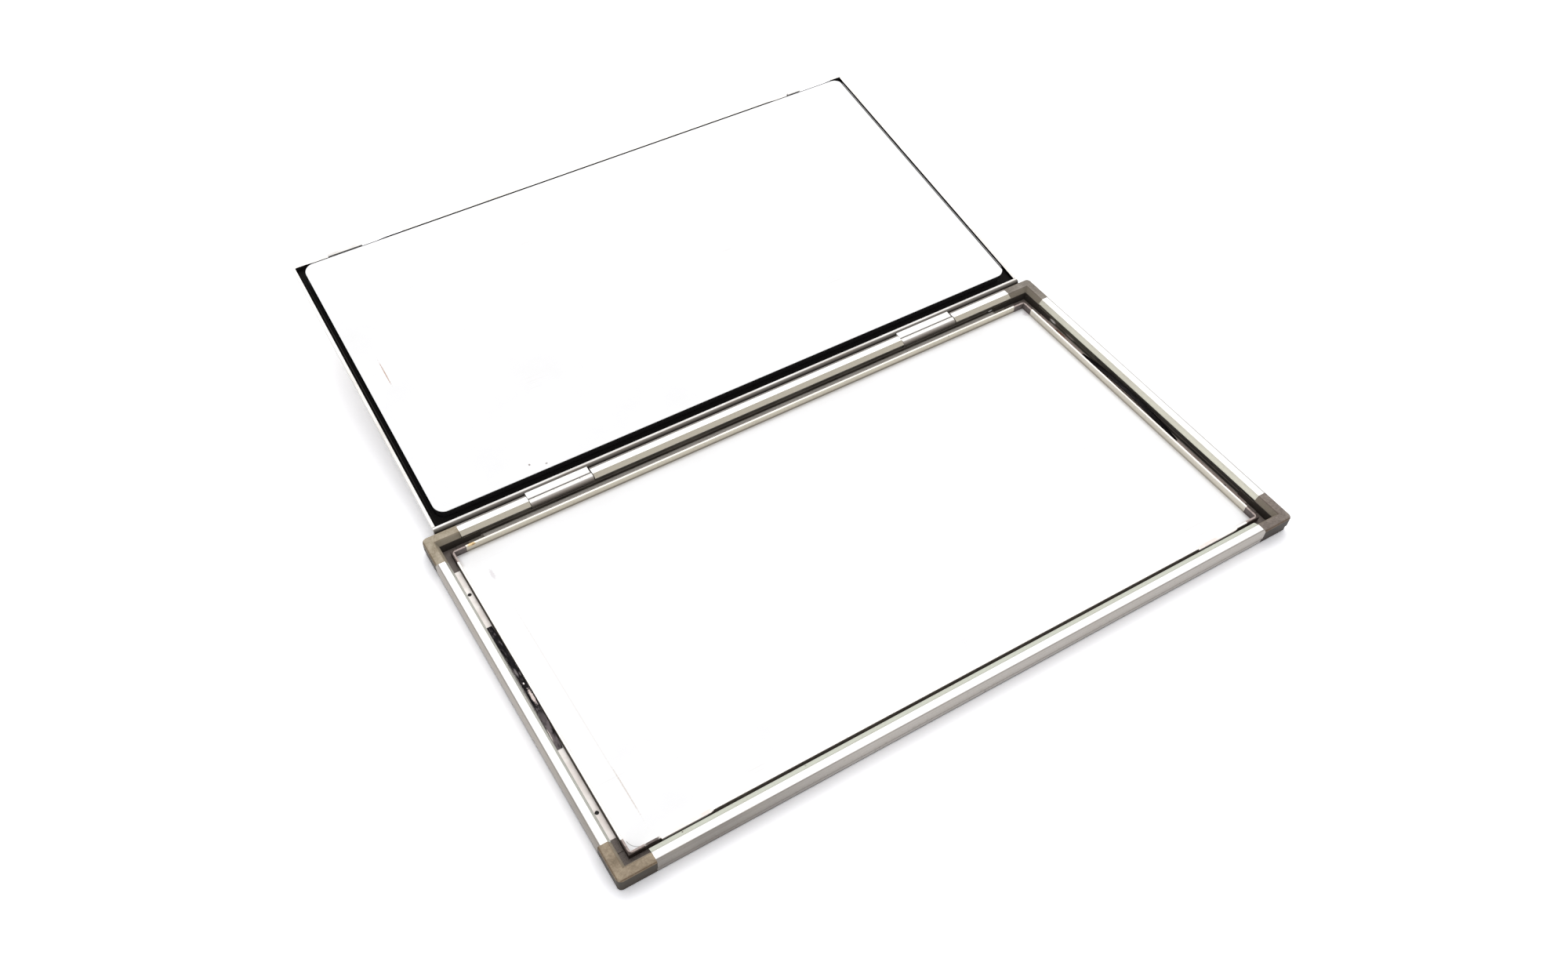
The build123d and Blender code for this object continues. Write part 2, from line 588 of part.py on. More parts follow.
for place, latch in LATCHES.items():
    slide_start, slide_end = latch["slide"]
    hook_start, hook_end = latch["hook"]
    with BuildPart() as slide:
        with BuildSketch(lid_plane.offset(SLIDE_BACK)):
            add(box_between((slide_start, slide_end), (SLIDE_Y0, WEB_INNER - SLIDE_PLAY * 2)))
            add(box_between((hook_start, hook_end), (WEB_INNER - 1.0, WEB_OUTER)))
            for guide_x in latch["guides"]:
                slot_end = guide_x + GUIDE_SLOT_WIDTH / 2
                with Locations((slot_end - (LATCH_TRAVEL + GUIDE_SLOT_WIDTH) / 2, KNOB_Y)):
                    SlotOverall(LATCH_TRAVEL + GUIDE_SLOT_WIDTH, GUIDE_SLOT_WIDTH, mode=Mode.SUBTRACT)
            with Locations((latch["knob"], KNOB_Y)):
                Rectangle(STEM_LENGTH, STEM_WIDTH, mode=Mode.SUBTRACT)
        extrude(amount=SLIDE_THICKNESS)
        # hook: a web through the rim's notch, turned back over the frame's catch
        with BuildSketch(lid_section.offset(hook_start)):
            with BuildLine():
                Polyline(
                    (WEB_OUTER, SLIDE_BACK),
                    (WEB_OUTER, HOOK_TOP),
                    (WEB_OUTER - HOOK_REACH, HOOK_TOP),
                    (WEB_OUTER - HOOK_REACH, HOOK_TOP - HOOK_THICKNESS),
                    (WEB_INNER, HOOK_TOP - HOOK_THICKNESS),
                    (WEB_INNER, SLIDE_BACK),
                    close=True,
                )
            make_face()
        extrude(amount=hook_end - hook_start)
    save(slide.part, f"latch_slide_{place}")

    with BuildPart() as knob:
        with BuildSketch(lid_plane.offset(SLIDE_TOP)):
            with Locations((latch["knob"], KNOB_Y)):
                Rectangle(STEM_LENGTH, STEM_WIDTH)
        extrude(amount=LID_BACK - KNOB_GAP - SLIDE_TOP)
        with BuildSketch(lid_plane.offset(LID_BACK - KNOB_GAP)):
            with Locations((latch["knob"], KNOB_Y)):
                RectangleRounded(KNOB_LENGTH, KNOB_WIDTH, 1.5)
        extrude(amount=-KNOB_HEIGHT)
        # grip ribs, cut as grooves across the knob
        with BuildSketch(lid_plane.offset(LID_BACK - KNOB_GAP - KNOB_HEIGHT)):
            with Locations((latch["knob"], KNOB_Y)):
                with GridLocations(KNOB_LENGTH / (KNOB_RIBS + 1), 0, KNOB_RIBS, 1):
                    Rectangle(0.8, KNOB_WIDTH + 1)
        extrude(amount=0.5, mode=Mode.SUBTRACT)
    save(knob.part, f"latch_knob_{place}")
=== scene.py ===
"""Looks of the open x-ray film cassette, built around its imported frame."""

from __future__ import annotations

import logging
import math
from dataclasses import dataclass, field, replace
from enum import Enum
from typing import Any, Callable, Iterable, Union

import bpy
from mathutils import Matrix, Vector

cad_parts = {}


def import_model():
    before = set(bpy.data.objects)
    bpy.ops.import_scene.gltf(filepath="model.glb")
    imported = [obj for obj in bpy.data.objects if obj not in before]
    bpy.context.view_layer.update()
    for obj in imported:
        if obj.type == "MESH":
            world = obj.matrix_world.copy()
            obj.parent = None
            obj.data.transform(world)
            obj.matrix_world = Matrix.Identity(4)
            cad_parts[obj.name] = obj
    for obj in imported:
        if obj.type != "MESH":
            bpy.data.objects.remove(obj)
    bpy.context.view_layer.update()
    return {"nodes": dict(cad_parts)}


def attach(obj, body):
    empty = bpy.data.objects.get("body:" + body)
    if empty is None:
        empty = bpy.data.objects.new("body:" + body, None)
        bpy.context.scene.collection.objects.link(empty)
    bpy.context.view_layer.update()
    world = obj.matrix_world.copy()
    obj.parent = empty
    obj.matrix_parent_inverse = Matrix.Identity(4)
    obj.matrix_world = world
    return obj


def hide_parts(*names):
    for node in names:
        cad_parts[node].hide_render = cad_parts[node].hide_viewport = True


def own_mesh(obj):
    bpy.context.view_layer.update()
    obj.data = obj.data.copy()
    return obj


LOG = logging.getLogger("cassette")
MM = 0.001

Colour = tuple[float, float, float]
Triple = tuple[float, float, float]
Number = Union[float, "Value"]


def srgb(red: int, green: int, blue: int) -> Colour:
    """A colour given as 0 to 255 on a screen, as linear light.

    Args:
        red: red from 0 to 255.
        green: green from 0 to 255.
        blue: blue from 0 to 255.

    Returns:
        The three linear values.
    """

    def linear(level: int) -> float:
        """One channel as linear light."""
        share = level / 255
        return share / 12.92 if share <= 0.04045 else ((share + 0.055) / 1.055) ** 2.4

    return linear(red), linear(green), linear(blue)


# ------------------------------------------------------------------ shared sizes, in mm
@dataclass(frozen=True)
class FrameSizes:
    """Main sizes of the frame's section, in millimetres from the origin or its outer face."""

    half_length: float = 160.0
    half_width: float = 86.75
    height: float = 8.12
    groove: tuple[float, float] = (2.8, 3.2)
    top_inner: float = 4.15
    wall_inner: float = 4.9
    lip: tuple[float, float] = (8.85, 10.05)
    lip_top: float = 4.13
    corner_leg: float = 15.6


@dataclass(frozen=True)
class LidSizes:
    """Where the lid lies, and its main sizes in its own directions, in millimetres."""

    pin: Triple = (0.0, 83.65, 6.2)
    tilt: float = 9.19
    back: float = -1.85
    skin_top: float = -1.15
    rim_top: float = 1.8
    left: float = -153.6
    right: float = 154.2
    free: float = 163.85
    pad_middle: float = 84.25

    def matrix(self) -> Matrix:
        """From the lid's own directions to the shared frame, in metres."""
        place = Vector(self.pin) * MM
        return Matrix.Translation(place) @ Matrix.Rotation(math.radians(self.tilt), 4, "X")


FRAME = FrameSizes()
LID = LidSizes()


# ------------------------------------------------------------------ shader maths
class Value:
    """A number socket of a material; arithmetic on it adds Math nodes."""

    def __init__(self, shader: Shader, socket: bpy.types.NodeSocket) -> None:
        """Wraps a socket.

        Args:
            shader: the material that the socket belongs to.
            socket: the output socket.
        """
        self.shader = shader
        self.socket = socket

    def __add__(self, other: Number) -> Value:
        """Sum."""
        return self.shader.maths("ADD", self, other)

    __radd__ = __add__

    def __sub__(self, other: Number) -> Value:
        """Difference."""
        return self.shader.maths("SUBTRACT", self, other)

    def __rsub__(self, other: Number) -> Value:
        """Difference from a plain number."""
        return self.shader.maths("SUBTRACT", other, self)

    def __mul__(self, other: Number) -> Value:
        """Product."""
        return self.shader.maths("MULTIPLY", self, other)

    __rmul__ = __mul__

    def __truediv__(self, other: Number) -> Value:
        """Quotient."""
        return self.shader.maths("DIVIDE", self, other)

    def __abs__(self) -> Value:
        """Distance from zero."""
        return self.shader.maths("ABSOLUTE", self)

    def least(self, other: Number) -> Value:
        """The lower of the two."""
        return self.shader.maths("MINIMUM", self, other)

    def most(self, other: Number) -> Value:
        """The higher of the two."""
        return self.shader.maths("MAXIMUM", self, other)

    def above(self, edge: Number, blur: float = 0.1) -> Value:
        """A mask that is 1 above an edge.

        Args:
            edge: the value at which the mask is one half.
            blur: how wide the change is.

        Returns:
            The mask, from 0 to 1.
        """
        return self.shader.maths("ADD", (self - edge) / blur, 0.5, clamp=True)

    def below(self, edge: Number, blur: float = 0.1) -> Value:
        """A mask that is 1 below an edge; see above."""
        return self.shader.maths("SUBTRACT", 0.5, (self - edge) / blur, clamp=True)

    def near(self, centre: float, reach: float) -> Value:
        """A mask that is 1 at a value and falls to 0 at a reach from it.

        Args:
            centre: where the mask is 1.
            reach: distance at which it is 0.

        Returns:
            The mask, from 0 to 1.
        """
        return self.shader.maths("SUBTRACT", 1.0, abs(self - centre) / reach, clamp=True)

    def between(self, low: float, high: float, blur: float = 0.1) -> Value:
        """A mask that is 1 between two values."""
        return self.above(low, blur) * self.below(high, blur)


class Space(Enum):
    """Directions that a pattern follows."""

    FRAME = "frame"
    LID = "lid"


class Shader:
    """A procedural material while it is made."""

    def __init__(self, name: str, space: Space = Space.FRAME) -> None:
        """Starts a material.

        Args:
            name: the material's name.
            space: the directions of its coordinates.
        """
        self.material = bpy.data.materials.new(name)
        self.material.use_nodes = True
        self.tree = self.material.node_tree
        self.tree.nodes.clear()
        settings = {"Scale": (1 / MM,) * 3}
        if space is Space.LID:
            turn = Matrix.Rotation(-math.radians(LID.tilt), 3, "X")
            settings["Rotation"] = (-math.radians(LID.tilt), 0.0, 0.0)
            settings["Location"] = tuple(-(turn @ Vector(LID.pin)))
        coordinates = self.node("ShaderNodeTexCoord")
        placed = self.node("ShaderNodeMapping", {}, {"Vector": coordinates.outputs["Object"], **settings})
        self.mm = placed.outputs["Vector"]
        parts = self.node("ShaderNodeSeparateXYZ", {}, {"Vector": self.mm})
        self.x, self.y, self.z = (Value(self, parts.outputs[i]) for i in range(3))
        self.rag: Value | None = None

    def node(self, kind: str, settings: dict[str, Any] | None = None, sockets: dict[Any, Any] | None = None) -> bpy.types.Node:
        """Adds a node.

        Args:
            kind: Blender's name of the node's type.
            settings: the node's own settings, or the stops of its colour ramp as "stops".
            sockets: values or links of its inputs, by name or number.

        Returns:
            The node.
        """
        made = self.tree.nodes.new(kind)
        for key, value in (settings or {}).items():
            if key == "stops":
                ramp = made.color_ramp
                while len(ramp.elements) > 1:
                    ramp.elements.remove(ramp.elements[0])
                for number, (position, colour) in enumerate(value):
                    stop = ramp.elements[0] if number == 0 else ramp.elements.new(position)
                    stop.position = position
                    stop.color = (*colour, 1.0)
            else:
                setattr(made, key, value)
        for key, value in (sockets or {}).items():
            self.feed(made.inputs[key], value)
        return made

    def feed(self, socket: bpy.types.NodeSocket, value: Any) -> None:
        """Links a socket, or sets its value.

        Args:
            socket: an input socket.
            value: a Value, an output socket, a colour, a vector or a number.
        """
        if isinstance(value, Value):
            value = value.socket
        if isinstance(value, bpy.types.NodeSocket):
            self.tree.links.new(value, socket)
        elif socket.type == "RGBA" and len(value) == 3:
            socket.default_value = (*value, 1.0)
        else:
            socket.default_value = value

    def maths(self, operation: str, *values: Number, clamp: bool = False) -> Value:
        """One Math node.

        Args:
            operation: Blender's name of the operation.
            values: its inputs.
            clamp: keep the result from 0 to 1.

        Returns:
            The result.
        """
        made = self.node("ShaderNodeMath", {"operation": operation, "use_clamp": clamp}, dict(enumerate(values)))
        return Value(self, made.outputs[0])

    def stretched(self, stretch: Triple, offset: Triple = (0.0, 0.0, 0.0)) -> bpy.types.NodeSocket:
        """The coordinates, scaled along each direction and moved."""
        scaled = self.node("ShaderNodeVectorMath", {"operation": "MULTIPLY_ADD"}, {0: self.mm, 1: stretch, 2: offset})
        return scaled.outputs[0]

    def noise(self, stretch: Triple, detail: float = 3.0, offset: Triple = (0.0, 0.0, 0.0), rough: float = 0.55) -> Value:
        """A noise pattern.

        Args:
            stretch: features a millimetre along each direction.
            detail: octaves.
            offset: moves the pattern, so that two are unlike.
            rough: how strong the fine octaves are.

        Returns:
            The pattern, about 0 to 1 around 0.5.
        """
        made = self.node(
            "ShaderNodeTexNoise",
            {"noise_dimensions": "3D"},
            {"Vector": self.stretched(stretch, offset), "Scale": 1.0, "Detail": detail, "Roughness": rough},
        )
        return Value(self, made.outputs["Factor"] if "Factor" in made.outputs else made.outputs[0])

    def cells(self, stretch: Triple, feature: str = "F1") -> Value:
        """A cell pattern's distance.

        Args:
            stretch: cells a millimetre along each direction.
            feature: Blender's name of the distance measured.

        Returns:
            The distance, in cells.
        """
        made = self.node("ShaderNodeTexVoronoi", {"feature": feature}, {"Vector": self.stretched(stretch), "Scale": 1.0})
        return Value(self, made.outputs["Distance"])

    def mix(self, mask: Number, low: Any, high: Any) -> bpy.types.NodeSocket:
        """A colour between two.

        Args:
            mask: 0 for the first, 1 for the second.
            low: the first colour.
            high: the second colour.

        Returns:
            The mixed colour's socket.
        """
        made = self.node("ShaderNodeMix", {"data_type": "RGBA", "clamp_factor": True})
        self.feed(made.inputs[0], mask)
        self.feed(made.inputs[6], low)
        self.feed(made.inputs[7], high)
        return made.outputs[2]

    def layers(self, ground: Any, *coats: tuple[Number, Any]) -> Any:
        """Colours laid over each other.

        Args:
            ground: the lowest colour.
            coats: pairs of a mask and the colour laid on there.

        Returns:
            The result.
        """
        for mask, colour in coats:
            ground = self.mix(mask, ground, colour)
        return ground

    def ramp(self, value: Value, *stops: tuple[float, Colour]) -> bpy.types.NodeSocket:
        """A colour read from a ramp of stops."""
        return self.node("ShaderNodeValToRGB", {"stops": stops}, {0: value}).outputs[0]

    def bump(self, height: Value, distance: float, strength: float = 1.0) -> bpy.types.NodeSocket:
        """A bumped normal.

        Args:
            height: the relief, 0 to 1.
            distance: its depth in millimetres.
            strength: how strong it shows.

        Returns:
            The normal's socket.
        """
        made = self.node("ShaderNodeBump", {}, {"Strength": strength, "Distance": distance * MM, "Height": height})
        return made.outputs[0]

    def surface(self, **sockets: Any) -> bpy.types.Material:
        """Ends the material with a Principled shader.

        Args:
            sockets: its inputs, with _ for the spaces of their names.

        Returns:
            The material.
        """
        named = {key.replace("_", " "): value for key, value in sockets.items()}
        shade = self.node("ShaderNodeBsdfPrincipled", {}, named)
        self.node("ShaderNodeOutputMaterial", {}, {"Surface": shade.outputs[0]})
        return self.material

    def ragged(self) -> Value:
        """A fine noise that the edges of all marks share."""
        if self.rag is None:
            self.rag = self.noise((1.6, 1.6, 1.6), 3.0, (3.0, 8.0, 2.0), 0.7)
        return self.rag

    def from_edge(self) -> Value:
        """Distance inward from the frame's outer faces, in millimetres."""
        return (FRAME.half_length - abs(self.x)).least(FRAME.half_width - abs(self.y))


# ------------------------------------------------------------------ finishes
class Run(Enum):
    """Direction in which a rail was drawn."""

    LONG = (1.0, 0.0)
    SHORT = (0.0, 1.0)


@dataclass(frozen=True)
class Mark:
    """A scratch, nick or stain at one place, in millimetres."""

    place: Triple
    reach: Triple
    colour: Colour
    weight: float = 1.0
    wander: float = 1.2

    def mask(self, shader: Shader) -> Value:
        """The mark's mask.

        Args:
            shader: the material that it goes on.

        Returns:
            The mask, 1 in the middle and ragged at its edge.
        """
        far = [(axis - at) / reach for axis, at, reach in zip((shader.x, shader.y, shader.z), self.place, self.reach)]
        spread = shader.maths("SQRT", far[0] * far[0] + far[1] * far[1] + far[2] * far[2])
        return (spread + (shader.ragged() - 0.5) * self.wander).below(0.85, 0.5) * self.weight


@dataclass(frozen=True)
class SatinRail:
    """Extruded aluminium rail: bright top, drawn lines and dirt, sides less metallic; the sides, chamfer, rounded top
    edge, groove and bottom edge painted darker as shade, the channel wall and the lip's outer face painted dark as
    shade below the eave, and a painted highlight on a step in the wall.
    """

    name: str
    run: Run
    eave: tuple[float, float]
    top: Colour = srgb(240, 240, 239)
    # outer face tones: painted shade, darker than the top because the side gets less light, and a little lighter lower
    # down
    side: Colour = srgb(172, 166, 160)
    side_low: Colour = srgb(186, 178, 170)
    band: Colour = srgb(190, 186, 180)
    # painted shadow along the foot of the outer face, where it meets the floor
    contact_shadow: Colour = srgb(72, 70, 66)
    # tone of the rounded top edge: painted shade on most rails, a painted highlight on the right one
    arris: Colour = srgb(114, 107, 101)
    # chamfer tones: painted shade, darker than the top because the slope gets less light
    slope: Colour = srgb(188, 191, 178)
    slope_top: Colour = srgb(176, 177, 166)
    # channel wall: painted shade, near black because it lies below the eave; a grey tone lightens part of it on one
    # rail
    wall: Colour = srgb(46, 40, 30)
    wall_grey: Callable[[Shader], Value] | None = None
    floor: Colour = srgb(176, 168, 156)
    lip: Colour = srgb(246, 242, 236)
    # lip's outer face: painted shade from the dark channel it faces
    lip_outer_shade: Colour = srgb(84, 76, 67)
    # lip's inner face and its foot: the foot and the face's lower part painted darker as shade; per-rail copies lighten
    # or darken them as painted light
    lip_inner: Colour = srgb(200, 192, 176)
    foot: Colour = srgb(112, 104, 92)
    # tone that darkens the outer face towards one end of some rails
    darker_tone: Colour = srgb(96, 89, 82)
    # painted shade in the outer face's groove; also the colour of the painted highlight on the wall's step
    groove: Colour = srgb(134, 126, 119)
    # how much lower the lip's bright top reaches on its inner half than its outer; the rest keeps the outer face's
    # painted shade
    lip_round: float = 0.14
    # height of a painted dark line of shade along the outer face
    shade_line: float = 3.55
    grime: Colour = srgb(96, 82, 66)
    # how much the outer face darkens towards one end
    darker_end: Callable[[Shader], Value] | None = None
    marks: tuple[Mark, ...] = ()

    def material(self) -> bpy.types.Material:
        """The rail's material."""
        s = Shader(self.name)
        u, z = s.from_edge(), s.z
        along, across = (0.012, 5.0) if self.run is Run.LONG else (5.0, 0.012)
        drawn = s.noise((along, across, 5.0), 2.0)
        cloud = s.noise((0.05, 0.05, 0.05), 4.0, (7.0, 3.0, 1.0))
        speck = s.noise((1.1, 1.1, 1.1), 4.0, (1.0, 9.0, 4.0))
        eave_u, eave_z = self.eave
        lip_low, lip_high = FRAME.lip
        groove_low, groove_high = FRAME.groove
        # the chamfer from the top's inner edge to the eave, painted in shaded tones
        sloped = u.above(FRAME.top_inner, 0.12) * z.above(eave_z - 0.05, 0.1) * u.below(eave_u + 0.3, 0.1)
        near_top = sloped * u.below(FRAME.top_inner + 0.55, 0.3)
        # the outer face, painted in shaded tones and made less metallic
        outer = u.below(1.15, 0.25)
        # painted shade along the rounded top edge, and a painted line of shade on the outer face
        shoulder = u.near(1.1, 0.55) * z.above(FRAME.height - 0.3, 0.1)
        shade_line = z.near(self.shade_line, 0.45) * u.below(0.5, 0.1)
        # the channel wall below the eave, painted dark as shade
        channel = u.above(FRAME.wall_inner - 0.25, 0.1) * z.below(eave_z - 0.12, 0.1)
        # painted highlight on the step in the channel wall
        step_highlight = u.near(FRAME.wall_inner, 0.2) * z.near(2.9, 0.35)
        base = channel * u.above(FRAME.wall_inner + 0.1, 0.1) * z.below(1.5, 0.1)
        lip = u.above(lip_low - 0.06, 0.05)
        lip_face = u.above(lip_high - 0.08, 0.06)
        inner_half = u.above((lip_low + lip_high) / 2, 0.1)
        # the lip's bright top; what lies outside it keeps the painted shade
        lip_top = lip * z.above(FRAME.lip_top - 0.16 - self.lip_round * inner_half, 0.1)
        # painted shade at the lip's foot, beside the screen
        foot = u.above(lip_high - 0.1, 0.1) * z.below(1.7, 0.5)
        # painted shade in the groove of the outer face
        groove = z.between(groove_low - 0.1, groove_high + 0.1, 0.15) * u.below(1.0, 0.1)
        # painted shadow along the bottom of the outer face
        skirt_shadow = z.below(0.5, 0.45) * u.below(1.0, 0.1)
        dirt = speck.above(0.62, 0.12)
        colour = s.layers(
            self.top,
            # painted shade on the outer face, lighter lower down
            (outer, self.side),
            (outer * z.below(5.4, 3.6), self.side_low),
            (outer * z.below(groove_low, 0.1), self.band),
            (shoulder * 0.9, self.arris),
            (shade_line * 0.7, self.arris),
            # outer face darker towards one end
            *(((outer * self.darker_end(s), self.darker_tone),) if self.darker_end else ()),
            (sloped, self.slope),
            (near_top * 0.8, self.slope_top),
            (channel, self.wall),
            *(((channel * self.wall_grey(s), srgb(66, 66, 54)),) if self.wall_grey else ()),
            (base, self.floor),
            (step_highlight * 0.8, self.groove),
            (lip, self.lip_outer_shade),
            (lip_face, self.lip_inner),
            # painted shade on the lower part of the lip's inner face
            (lip_face * z.below(2.9, 2.4) * 0.3, self.foot),
            (lip_top, self.lip),
            (foot * 0.8, self.foot),
            (groove * 0.95, self.groove),
            (skirt_shadow * 0.85, self.contact_shadow),
            (drawn.above(0.52, 0.5) * 0.2, srgb(150, 146, 138)),
            (cloud.above(0.56, 0.2) * 0.16, srgb(176, 168, 154)),
            (dirt * z.below(4.5, 1.0) * (1 - lip) * 0.4, self.grime),
            (dirt * 0.1, self.grime),
            *((mark.mask(s), mark.colour) for mark in self.marks),
        )
        dull = channel.most(groove).most(foot) * (1 - lip_top)
        return s.surface(
            Base_Color=colour,
            Metallic=0.65 - 0.6 * dull - 0.55 * outer,
            Roughness=0.34 + 0.12 * drawn + 0.3 * dull + 0.12 * outer,
            Normal=s.bump(drawn * 0.7 + speck * 0.3, 0.02, 0.5),
        )


@dataclass(frozen=True)
class MottledMoulding:
    """Moulded corner: mottled taupe with worn brown edges and a speckled channel; its outer sides, walls and lip faces
    painted darker as shade, and a dark band along its foot painted as shadow.
    """

    name: str
    pale: Colour
    middle: Colour
    deep: Colour
    chamfer: Colour = srgb(138, 129, 113)
    # outer side: painted shade
    side: Colour = srgb(34, 30, 24)
    edge: Colour = srgb(92, 72, 50)
    # painted shadow along the foot and painted shade on the inner walls; also a mottle on the lip
    dark: Colour = srgb(48, 43, 39)
    floor: Colour = srgb(124, 114, 107)
    speck: Colour = srgb(34, 30, 30)
    specks: float = 0.15
    lip: Colour = srgb(190, 174, 167)
    lip_bend: tuple[float, float] = (148.9, 75.65)
    lip_radius: float = 1.8
    # lip faces: painted shade
    lip_inner: Colour = srgb(112, 103, 100)
    lip_outer_shade: Colour = srgb(70, 58, 52)

    def material(self) -> bpy.types.Material:
        """The corners' material."""
        s = Shader(self.name)
        u, z = s.from_edge(), s.z
        lip_low, lip_high = FRAME.lip
        blotch = s.noise((0.16, 0.16, 0.16), 5.0, (2.0, 5.0, 8.0), 0.62)
        grain = s.noise((1.4, 1.4, 1.4), 4.0, (4.0, 1.0, 3.0), 0.6)
        fleck = s.noise((4.4, 4.4, 4.4), 2.0, (9.0, 2.0, 6.0))
        tone = blotch * 0.6 + grain * 0.4
        base = s.ramp(tone, (0.36, self.deep), (0.5, self.middle), (0.64, self.pale))
        top_edge = u.near(0.3, 0.4) * z.above(7.2, 0.4)
        inner_edge = u.near(FRAME.top_inner, 0.3) * z.above(7.7, 0.4)
        worn = top_edge.most(inner_edge * 0.5) * grain.above(0.4, 0.2)
        # outer side, painted dark as shade
        outer = z.below(7.3, 0.5) * u.below(1.2, 0.1)
        seam = z.near(3.0, 0.45) * u.below(1.2, 0.1)
        # painted shadow along the foot
        skirt_shadow = z.below(0.5, 0.5) * u.below(1.2, 0.1)
        inside = u.above(4.35, 0.3) * z.below(7.9, 0.2)
        # the inner wall below the chamfer, painted dark as shade
        wall = u.above(5.3, 0.2) * z.below(5.6, 0.3)
        floor = u.above(5.75, 0.1) * z.below(2.0, 0.2)
        lip = u.above(lip_low - 0.06, 0.05)
        lip_face = u.above(lip_high - 0.06, 0.05)
        out = [(abs(axis) - reach).most(0.0) for axis, reach in ((s.x, self.lip_bend[0]), (s.y, self.lip_bend[1]))]
        bend = s.maths("SQRT", out[0] * out[0] + out[1] * out[1])
        lip_top = lip * z.above(FRAME.lip_top - 0.1, 0.1) * bend.below(self.lip_radius, 0.15)
        colour = s.layers(
            base,
            (fleck.above(0.64, 0.08) * 0.5, self.deep),
            (outer * (0.8 + 0.2 * blotch), self.side),
            (worn * 0.9, self.edge),
            (seam * 0.8, self.edge),
            (skirt_shadow * 0.6, self.dark),
            (inside * (0.6 + 0.3 * grain), self.chamfer),
            (wall * 0.92, self.dark),
            (floor, self.floor),
            (floor * fleck.above(0.6, 0.08) * self.specks, self.speck),
            (lip, self.lip_outer_shade),
            (lip_face, self.lip_inner),
            (lip_top, self.lip),
            (lip * grain.above(0.58, 0.15) * 0.4, self.dark),
        )
        return s.surface(
            Base_Color=colour,
            Roughness=0.62 - 0.18 * blotch + 0.1 * grain,
            Specular_IOR_Level=0.3,
            Normal=s.bump(grain * 0.6 + fleck * 0.4, 0.05, 0.6),
        )


@dataclass(frozen=True)
class ScreenCard:
    """White intensifying screen with a faint mottle, fine scratches and a few stains, and on the frame's screen a
    painted shadow beside the hinge and right lips.
    """

    name: str
    space: Space
    marks: tuple[Mark, ...] = ()
    # colour of the painted shadow beside the lips
    darker_tone: Colour = srgb(176, 168, 160)
    line: Colour = srgb(112, 112, 104)
    white: Colour = srgb(255, 255, 254)
    faint: Colour = srgb(246, 245, 242)

    def material(self) -> bpy.types.Material:
        """The screen's material."""
        s = Shader(self.name, self.space)
        mottle = s.noise((0.03, 0.03, 0.03), 4.0)
        scratch = s.noise((0.02, 2.4, 1.0), 2.0, (3.0, 1.0, 0.0)) * s.noise((0.05, 0.05, 0.05), 1.0, (8.0, 8.0, 0.0))
        colour = s.layers(
            self.white,
            (mottle.above(0.6, 0.3) * 0.5, self.faint),
            (scratch.above(0.45, 0.03) * 0.2, srgb(226, 220, 212)),
            # frame's screen: painted shadow beside the hinge and right lips, and the fine corner line
            *(((self.lip_shadow(s), self.darker_tone), (self.corner_line(s), self.line)) if self.space is Space.FRAME else ()),
            *((mark.mask(s), mark.colour) for mark in self.marks),
        )
        return s.surface(
            Base_Color=colour,
            Roughness=0.42 + 0.15 * mottle,
            Specular_IOR_Level=0.4,
            Normal=s.bump(s.noise((2.0, 2.0, 2.0), 3.0), 0.004, 0.3),
        )


    @staticmethod
    def corner_line(shader: Shader) -> Value:
        """The fine line round the screen's corner, near and left."""
        across, along = (-144.0 - shader.x).most(0.0), (-71.0 - shader.y).most(0.0)
        away = shader.maths("SQRT", across * across + along * along)
        return away.near(4.75, 0.22) * across.above(0.4, 0.5) * along.above(0.4, 0.5) * 0.8

    @staticmethod
    def lip_shadow(shader: Shader) -> Value:
        """A painted shadow on the screen beside the hinge rail's and the right rail's lips."""
        sides = shader.x.above(140.0, 1.0).most(shader.y.above(70.0, 1.0))
        return shader.from_edge().below(11.2, 1.8) * sides * 0.45


@dataclass(frozen=True)
class Pile:
    """Light-trap felt or flock."""

    name: str
    space: Space
    ground: Colour = srgb(14, 12, 12)
    lint: Colour = srgb(58, 54, 52)
    worn: Colour = srgb(34, 31, 30)
    marks: tuple[Mark, ...] = ()

    def material(self) -> bpy.types.Material:
        """The felt's material."""
        s = Shader(self.name, self.space)
        fibre = s.noise((4.0, 4.0, 4.0), 4.0, (1.0, 2.0, 3.0), 0.7)
        worn = s.noise((0.12, 0.12, 0.12), 3.0, (5.0, 5.0, 5.0))
        lint = s.noise((6.0, 0.6, 2.0), 2.0, (2.0, 7.0, 1.0)).above(0.72, 0.04)
        colour = s.layers(
            self.ground,
            (fibre * worn * 0.8, self.worn),
            (lint * 0.5, self.lint),
            *((mark.mask(s), mark.colour) for mark in self.marks),
        )
        return s.surface(
            Base_Color=colour,
            Roughness=0.85,
            Specular_IOR_Level=0.12,
            Sheen_Weight=0.08,
            Sheen_Roughness=0.4,
            Normal=s.bump(fibre, 0.12, 0.7),
        )


